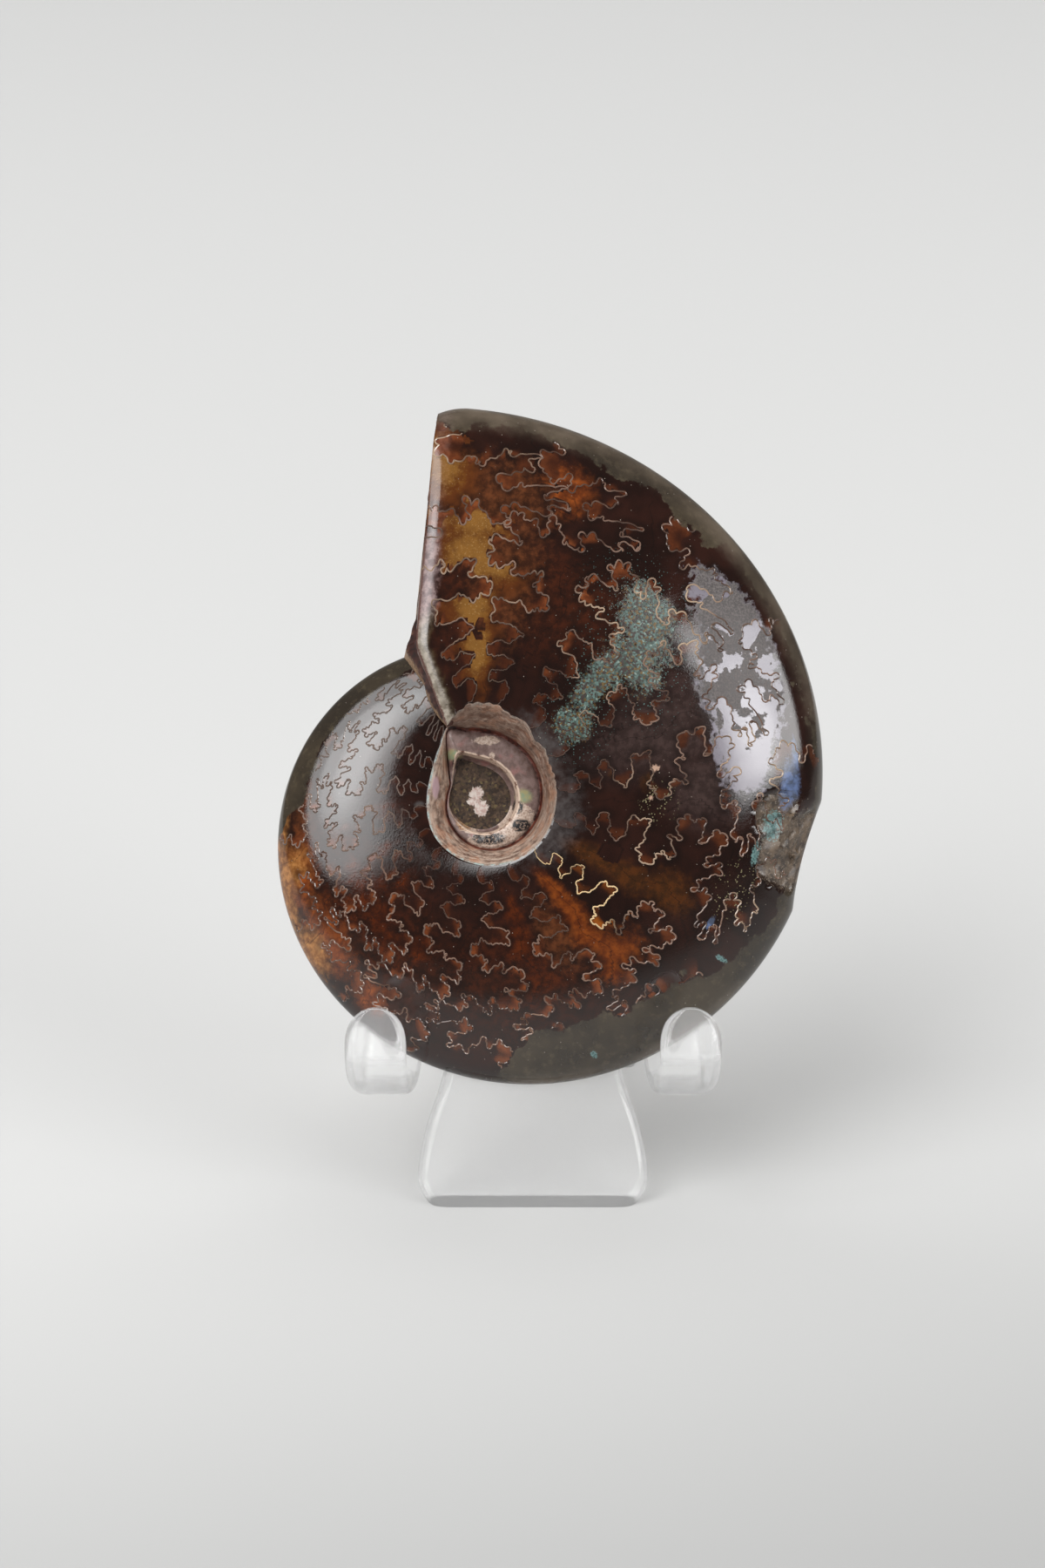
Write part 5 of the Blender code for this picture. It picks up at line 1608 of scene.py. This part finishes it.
# Painted reflection: the lines of the oldest chambers, which lie under the left light's reflection, are
# painted a light grey.
line_tone = node(LAYER, node(SOFT, known["line"], 11.4, 12.6, 0.0, 0.6), line_tone, "#6e645e")
off_bright = node(MATH, node(PLUS, known["line"], -BRIGHT_LINE), operation="ABSOLUTE")
bright = node(BOTH, node(SOFT, off_bright, 0.6, 0.4), node(SOFT, known["across"], 0.42, 0.34))
bright = node(BOTH, bright, node(SOFT, pale, 0.25, 0.5))
line_tone = node(LAYER, bright, line_tone, "#c9ae84")
feed(shader.inputs["Base Color"], line_tone)
shader.inputs["Roughness"].default_value = 0.07
shader.inputs["IOR"].default_value = 1.6
print("the septum edges use", len(septum.node_tree.nodes), "nodes")

# %% [markdown]
# **Shell of the navel.** The wall of the navel is worn shell, tan with fine growth ridges and a dark red
# seam at its foot; the older whorl inside it keeps a pearly layer, grey-lilac and pink with a little green
# fire. Chalky crust, dark specks and an ochre tip end it at the bottom.

# %% Wall of the navel
# Worn shell has a satin shine, and its growth ridges catch the light.
pearl, node, shader, mm, known = finish(
    "pearly_navel_shell", "navel", "growth", "pink_fire", "green_fire", "chalk", "dark_specks", "ochre"
)
depth_in, growth_here = known["navel"], known["growth"]
fine = node(NOISE, mm, Scale=1.3, Detail=5.0, Roughness=0.65)
grain = node(NOISE, mm, Scale=5.0, Detail=3.0, Roughness=0.7)
wall_tone = two_tone(node, fine, 0.32, 0.66, "#5d493e", "#a68f7f")
fire = node(NOISE, mm, Scale=0.55, Detail=2.0)
wall_tone = node(LAYER, node(SOFT, fire, 0.5, 0.62, 0.0, 0.55), wall_tone, "#9c7158")
across_ridges = node(TIMES, depth_in, 9.0)
along_ridges = node(TIMES, growth_here, 0.05)
ridge_place = node("ShaderNodeCombineXYZ", across_ridges, along_ridges, 0.0)
ridges = node(NOISE, ridge_place, Scale=1.0, Detail=3.0, Roughness=0.6)
wall_tone = node(LAYER, node(SOFT, ridges, 0.52, 0.68, 0.0, 0.75), wall_tone, "#4c2e20")
wall_tone = node(LAYER, node(SOFT, ridges, 0.46, 0.36, 0.0, 0.8), wall_tone, "#ab998b")
top_right = node(SOFT, growth_here, 300.0, 380.0)
wall_tone = node(LAYER, node(BOTH, top_right, node(SOFT, fine, 0.45, 0.6, 0.0, 0.85)), wall_tone, "#57392a")
wall_tone = node(LAYER, ragged(node, known["pink_fire"], fine, 0.6, 0.0, 0.5), wall_tone, "#a0868a")
print("the wall of the navel uses", len(pearl.node_tree.nodes), "nodes")

# %% Pearly band and its edges
band_tone = two_tone(node, fine, 0.3, 0.7, "#5a4741", "#806b66")
band_tone = node(LAYER, node(SOFT, fire, 0.52, 0.66, 0.0, 0.7), band_tone, "#8c625e")
band_tone = node(LAYER, node(SOFT, grain, 0.6, 0.7, 0.0, 0.5), band_tone, "#5a3026")
green = two_tone(node, fine, 0.4, 0.6, "#76856c", "#8e8760")
chalk = two_tone(node, grain, 0.35, 0.6, "#8a7364", "#b9a698")
specks = node(BOTH, ragged(node, known["dark_specks"], fine, 0.8, 0.0, 0.3), node(SOFT, grain, 0.4, 0.48))
ochre = two_tone(node, grain, 0.4, 0.6, "#6b4222", "#a08468")
band_tone = node(LAYER, ragged(node, known["green_fire"], fine, 0.8, 0.0, 0.6), band_tone, green)
band_tone = node(LAYER, ragged(node, known["chalk"], fine, 1.3, -0.05, 0.15), band_tone, chalk)
band_tone = node(LAYER, specks, band_tone, "#171415")
band_tone = node(LAYER, ragged(node, known["ochre"], fine, 0.8, 0.0, 0.4), band_tone, ochre)
tone = node(LAYER, node(SOFT, depth_in, 0.97, 1.03), wall_tone, band_tone)
seam_mask = node(
    BOTH, ragged(node, depth_in, fine, 0.12, 0.88, 0.96), ragged(node, depth_in, fine, 0.14, 1.1, 1.03)
)
tone = node(LAYER, seam_mask, tone, two_tone(node, fine, 0.4, 0.6, "#2a0f0a", "#5c2a1c"))
inner_edge = node(
    BOTH, ragged(node, depth_in, fine, 0.1, 1.68, 1.73), ragged(node, depth_in, fine, 0.1, 1.86, 1.82)
)
tone = node(LAYER, inner_edge, tone, two_tone(node, fine, 0.35, 0.5, "#5c3426", "#c4ad9b"))
# Painted highlight: a thin grey-white line along the navel's rim, strongest on the left and at the bottom.
painted_rim_highlight = node(BOTH, ragged(node, depth_in, fine, 0.12, 0.16, 0.03), node(SOFT, fine, 0.42, 0.58))
painted_rim_highlight = node(BOTH, painted_rim_highlight, node(SOFT, growth_here, 330.0, 280.0, 0.25, 1.0))
tone = node(LAYER, painted_rim_highlight, tone, two_tone(node, grain, 0.4, 0.6, "#6f807c", "#98a4a0"))
feed(shader.inputs["Base Color"], tone)
shader.inputs["Roughness"].default_value = 0.36
relief = node(PLUS, fine, ridges)
feed(shader.inputs["Normal"], node("ShaderNodeBump", Height=relief, Strength=0.3, Distance=0.1 * MM))
print("the whole navel shell uses", len(pearl.node_tree.nodes), "nodes")

# %% [markdown]
# **Matrix, mouth and sawn back.** The first whorls are filled with gritty olive-brown stone that holds a
# little pinkish-white crust. The mouth shows thin pale walls round a worn red-brown filling. The sawn back,
# which nobody sees on the stand, shows the chambers: their walls follow the same growth rule, worked out
# here from the angle and the logarithm of the radius, and each chamber gets a filling of its own.

# %% Matrix
# Gritty stone doesn't shine at all; its grains are drawn at 0.3 mm.
matrix, node, shader, mm, known = finish("gritty_matrix", "crust")
cells = node(VORONOI, mm, Scale=3.6, Randomness=1.0)
cell_luck = node("ShaderNodeSeparateColor", cells.outputs["Color"])
fine = node(NOISE, mm, Scale=2.0, Detail=4.0, Roughness=0.7)
tone = node(LAYER, cell_luck.outputs["Red"], "#1d130d", "#4a3828")
tone = node(LAYER, node(SOFT, fine, 0.5, 0.65), tone, "#2a1c12")
tone = node(LAYER, node(SOFT, fine, 0.42, 0.34), tone, "#3d3219")
tone = node(LAYER, node(SOFT, cell_luck.outputs["Green"], 0.93, 0.96), tone, "#57492f")
crust = two_tone(node, fine, 0.4, 0.6, "#a08880", "#b8aea6")
tone = node(LAYER, ragged(node, known["crust"], fine, 1.6, -0.05, 0.15), tone, crust)
feed(shader.inputs["Base Color"], tone)
shader.inputs["Roughness"].default_value = 0.85
print("the matrix uses", len(matrix.node_tree.nodes), "nodes")

# %% Mouth
# Broken calcite that wore smooth again: dull, with a soft sheen.
broken, node, shader, mm, known = finish("worn_mouth_edge", "mouth_share")
fine = node(NOISE, mm, Scale=1.6, Detail=5.0, Roughness=0.65)
grain = node(NOISE, mm, Scale=4.5, Detail=3.0, Roughness=0.7)
over = known["mouth_share"]
tone = two_tone(node, fine, 0.35, 0.65, "#1c0b07", "#38180f")
outer_wall = two_tone(node, grain, 0.4, 0.6, "#4a3025", "#77645a")
inner_wall = two_tone(node, grain, 0.35, 0.6, "#5d4536", "#93795f")
tone = node(LAYER, ragged(node, over, fine, 0.3, 0.2, 0.1), tone, outer_wall)
tone = node(LAYER, ragged(node, over, fine, 0.15, 0.84, 0.92), tone, inner_wall)
feed(shader.inputs["Base Color"], tone)
shader.inputs["Roughness"].default_value = 0.55
print("the mouth uses", len(broken.node_tree.nodes), "nodes")

# %% Sawn back
# Sawn and smoothed but not polished: satin.
CHAMBERS_PER_TURN, SEPTUM_BOW = 360 / 15.2, -0.03
sawn, node, shader, mm, _ = finish("sawn_chambers")
apart = node("ShaderNodeSeparateXYZ", mm)
fine = node(NOISE, mm, Scale=0.9, Detail=5.0, Roughness=0.6)
flat_mm = node("ShaderNodeCombineXYZ", apart.outputs["X"], 0.0, apart.outputs["Z"])
radius = node(VECTOR_MATH, flat_mm, operation="LENGTH").outputs["Value"]
angle = node(MATH, apart.outputs["Z"], apart.outputs["X"], operation="ARCTAN2")
turns_round = node(OVER, angle, 2 * math.pi)
size_here = node(OVER, radius, MOUTH_RADIUS)
size_turns = node(MATH, size_here, EXPANSION, operation="LOGARITHM")
size_turns = node(PLUS, size_turns, MOUTH_ANGLE / 360)
whorl = node(MINUS, size_turns, turns_round)
in_whorl = node(MATH, whorl, operation="FRACT")
total_turns = node(PLUS, node(MATH, whorl, operation="FLOOR"), turns_round)
bow = node(MATH, node(TIMES, in_whorl, math.pi), operation="SINE")
septum_turns = node(TIMES_PLUS, bow, SEPTUM_BOW, total_turns)
septum_turns = node(TIMES, septum_turns, CHAMBERS_PER_TURN)
in_chamber = node(MATH, septum_turns, operation="FRACT")
chamber_number = node(MATH, septum_turns, operation="FLOOR")
chamber_luck = node("ShaderNodeTexWhiteNoise", W=chamber_number, noise_dimensions="1D")
tone = node(LAYER, node(SOFT, chamber_luck.outputs["Value"], 0.2, 0.9), "#35211a", "#7a5228")
tone = node(LAYER, node(SOFT, fine, 0.5, 0.7, 0.0, 0.6), tone, "#8f7a5c")
walls = []
for part in (in_chamber, in_whorl):
    from_middle = node(MATH, node(PLUS, part, -0.5), operation="ABSOLUTE")
    walls.append(node(MINUS, from_middle, 0.5))
near_septum, near_wall = walls  # zero at a wall, minus one half in the middle between two
lining = node(TIMES_PLUS, node(NOISE, mm, Scale=0.5, Detail=4.0), 0.5, near_septum)
tone = node(LAYER, node(SOFT, lining, 0.02, 0.1, 0.0, 0.7), tone, "#a4845a")
crystals = node(BOTH, node(SOFT, lining, 0.0, 0.04), node(SOFT, lining, 0.08, 0.04))
tone = node(LAYER, node(BOTH, crystals, node(SOFT, fine, 0.4, 0.55)), tone, "#d0b488")
tone = node(LAYER, node(SOFT, near_septum, -0.07, -0.035), tone, "#b59f80")
tone = node(LAYER, node(SOFT, near_wall, -0.035, -0.015), tone, "#c0ab8e")
feed(shader.inputs["Base Color"], tone)
shader.inputs["Roughness"].default_value = 0.3
print("the sawn back uses", len(sawn.node_tree.nodes), "nodes")

# %% [markdown]
# **Clear cast acrylic** is nearly colourless, with an index of 1.49. What shows it on a pale table is only
# its bright, melted edges. A shader that bends all of its light would throw a dark shadow, so a part of the
# light is let straight through, and the table under it stays light, as it does under the real sheet.

# %% Clear acrylic, and a material for each zone
acrylic, _, shader, _, _ = finish("clear_cast_acrylic")
shader.inputs["Base Color"].default_value = paint("#ffffff")
shader.inputs["Roughness"].default_value = 0.08
shader.inputs["Transmission Weight"].default_value = 0.82
shader.inputs["Alpha"].default_value = 0.55  # what is bent or mirrored; the rest goes straight through
shader.inputs["IOR"].default_value = 1.49
for material in (polished_stone, pearl, matrix, broken, sawn):
    mesh.materials.append(material)
easel.data.materials.append(acrylic)
print("finishes:", [m.name for m in mesh.materials])

# %% [markdown]
# ## One body
#
# Nothing moves here, so all three pieces ride on the model's one body, and two of them stand for the plain
# nodes that they hide.

# %% Ride on the body, and hide the plain nodes
for piece, slot in ((shell_piece, "polished_fossil"), (sutures, "polished_fossil"), (easel, "clear_acrylic")):
    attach(piece, "root")
    print(piece.name, "takes the finish slot", slot)
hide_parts("ammonite_half")
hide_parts("acrylic_easel")
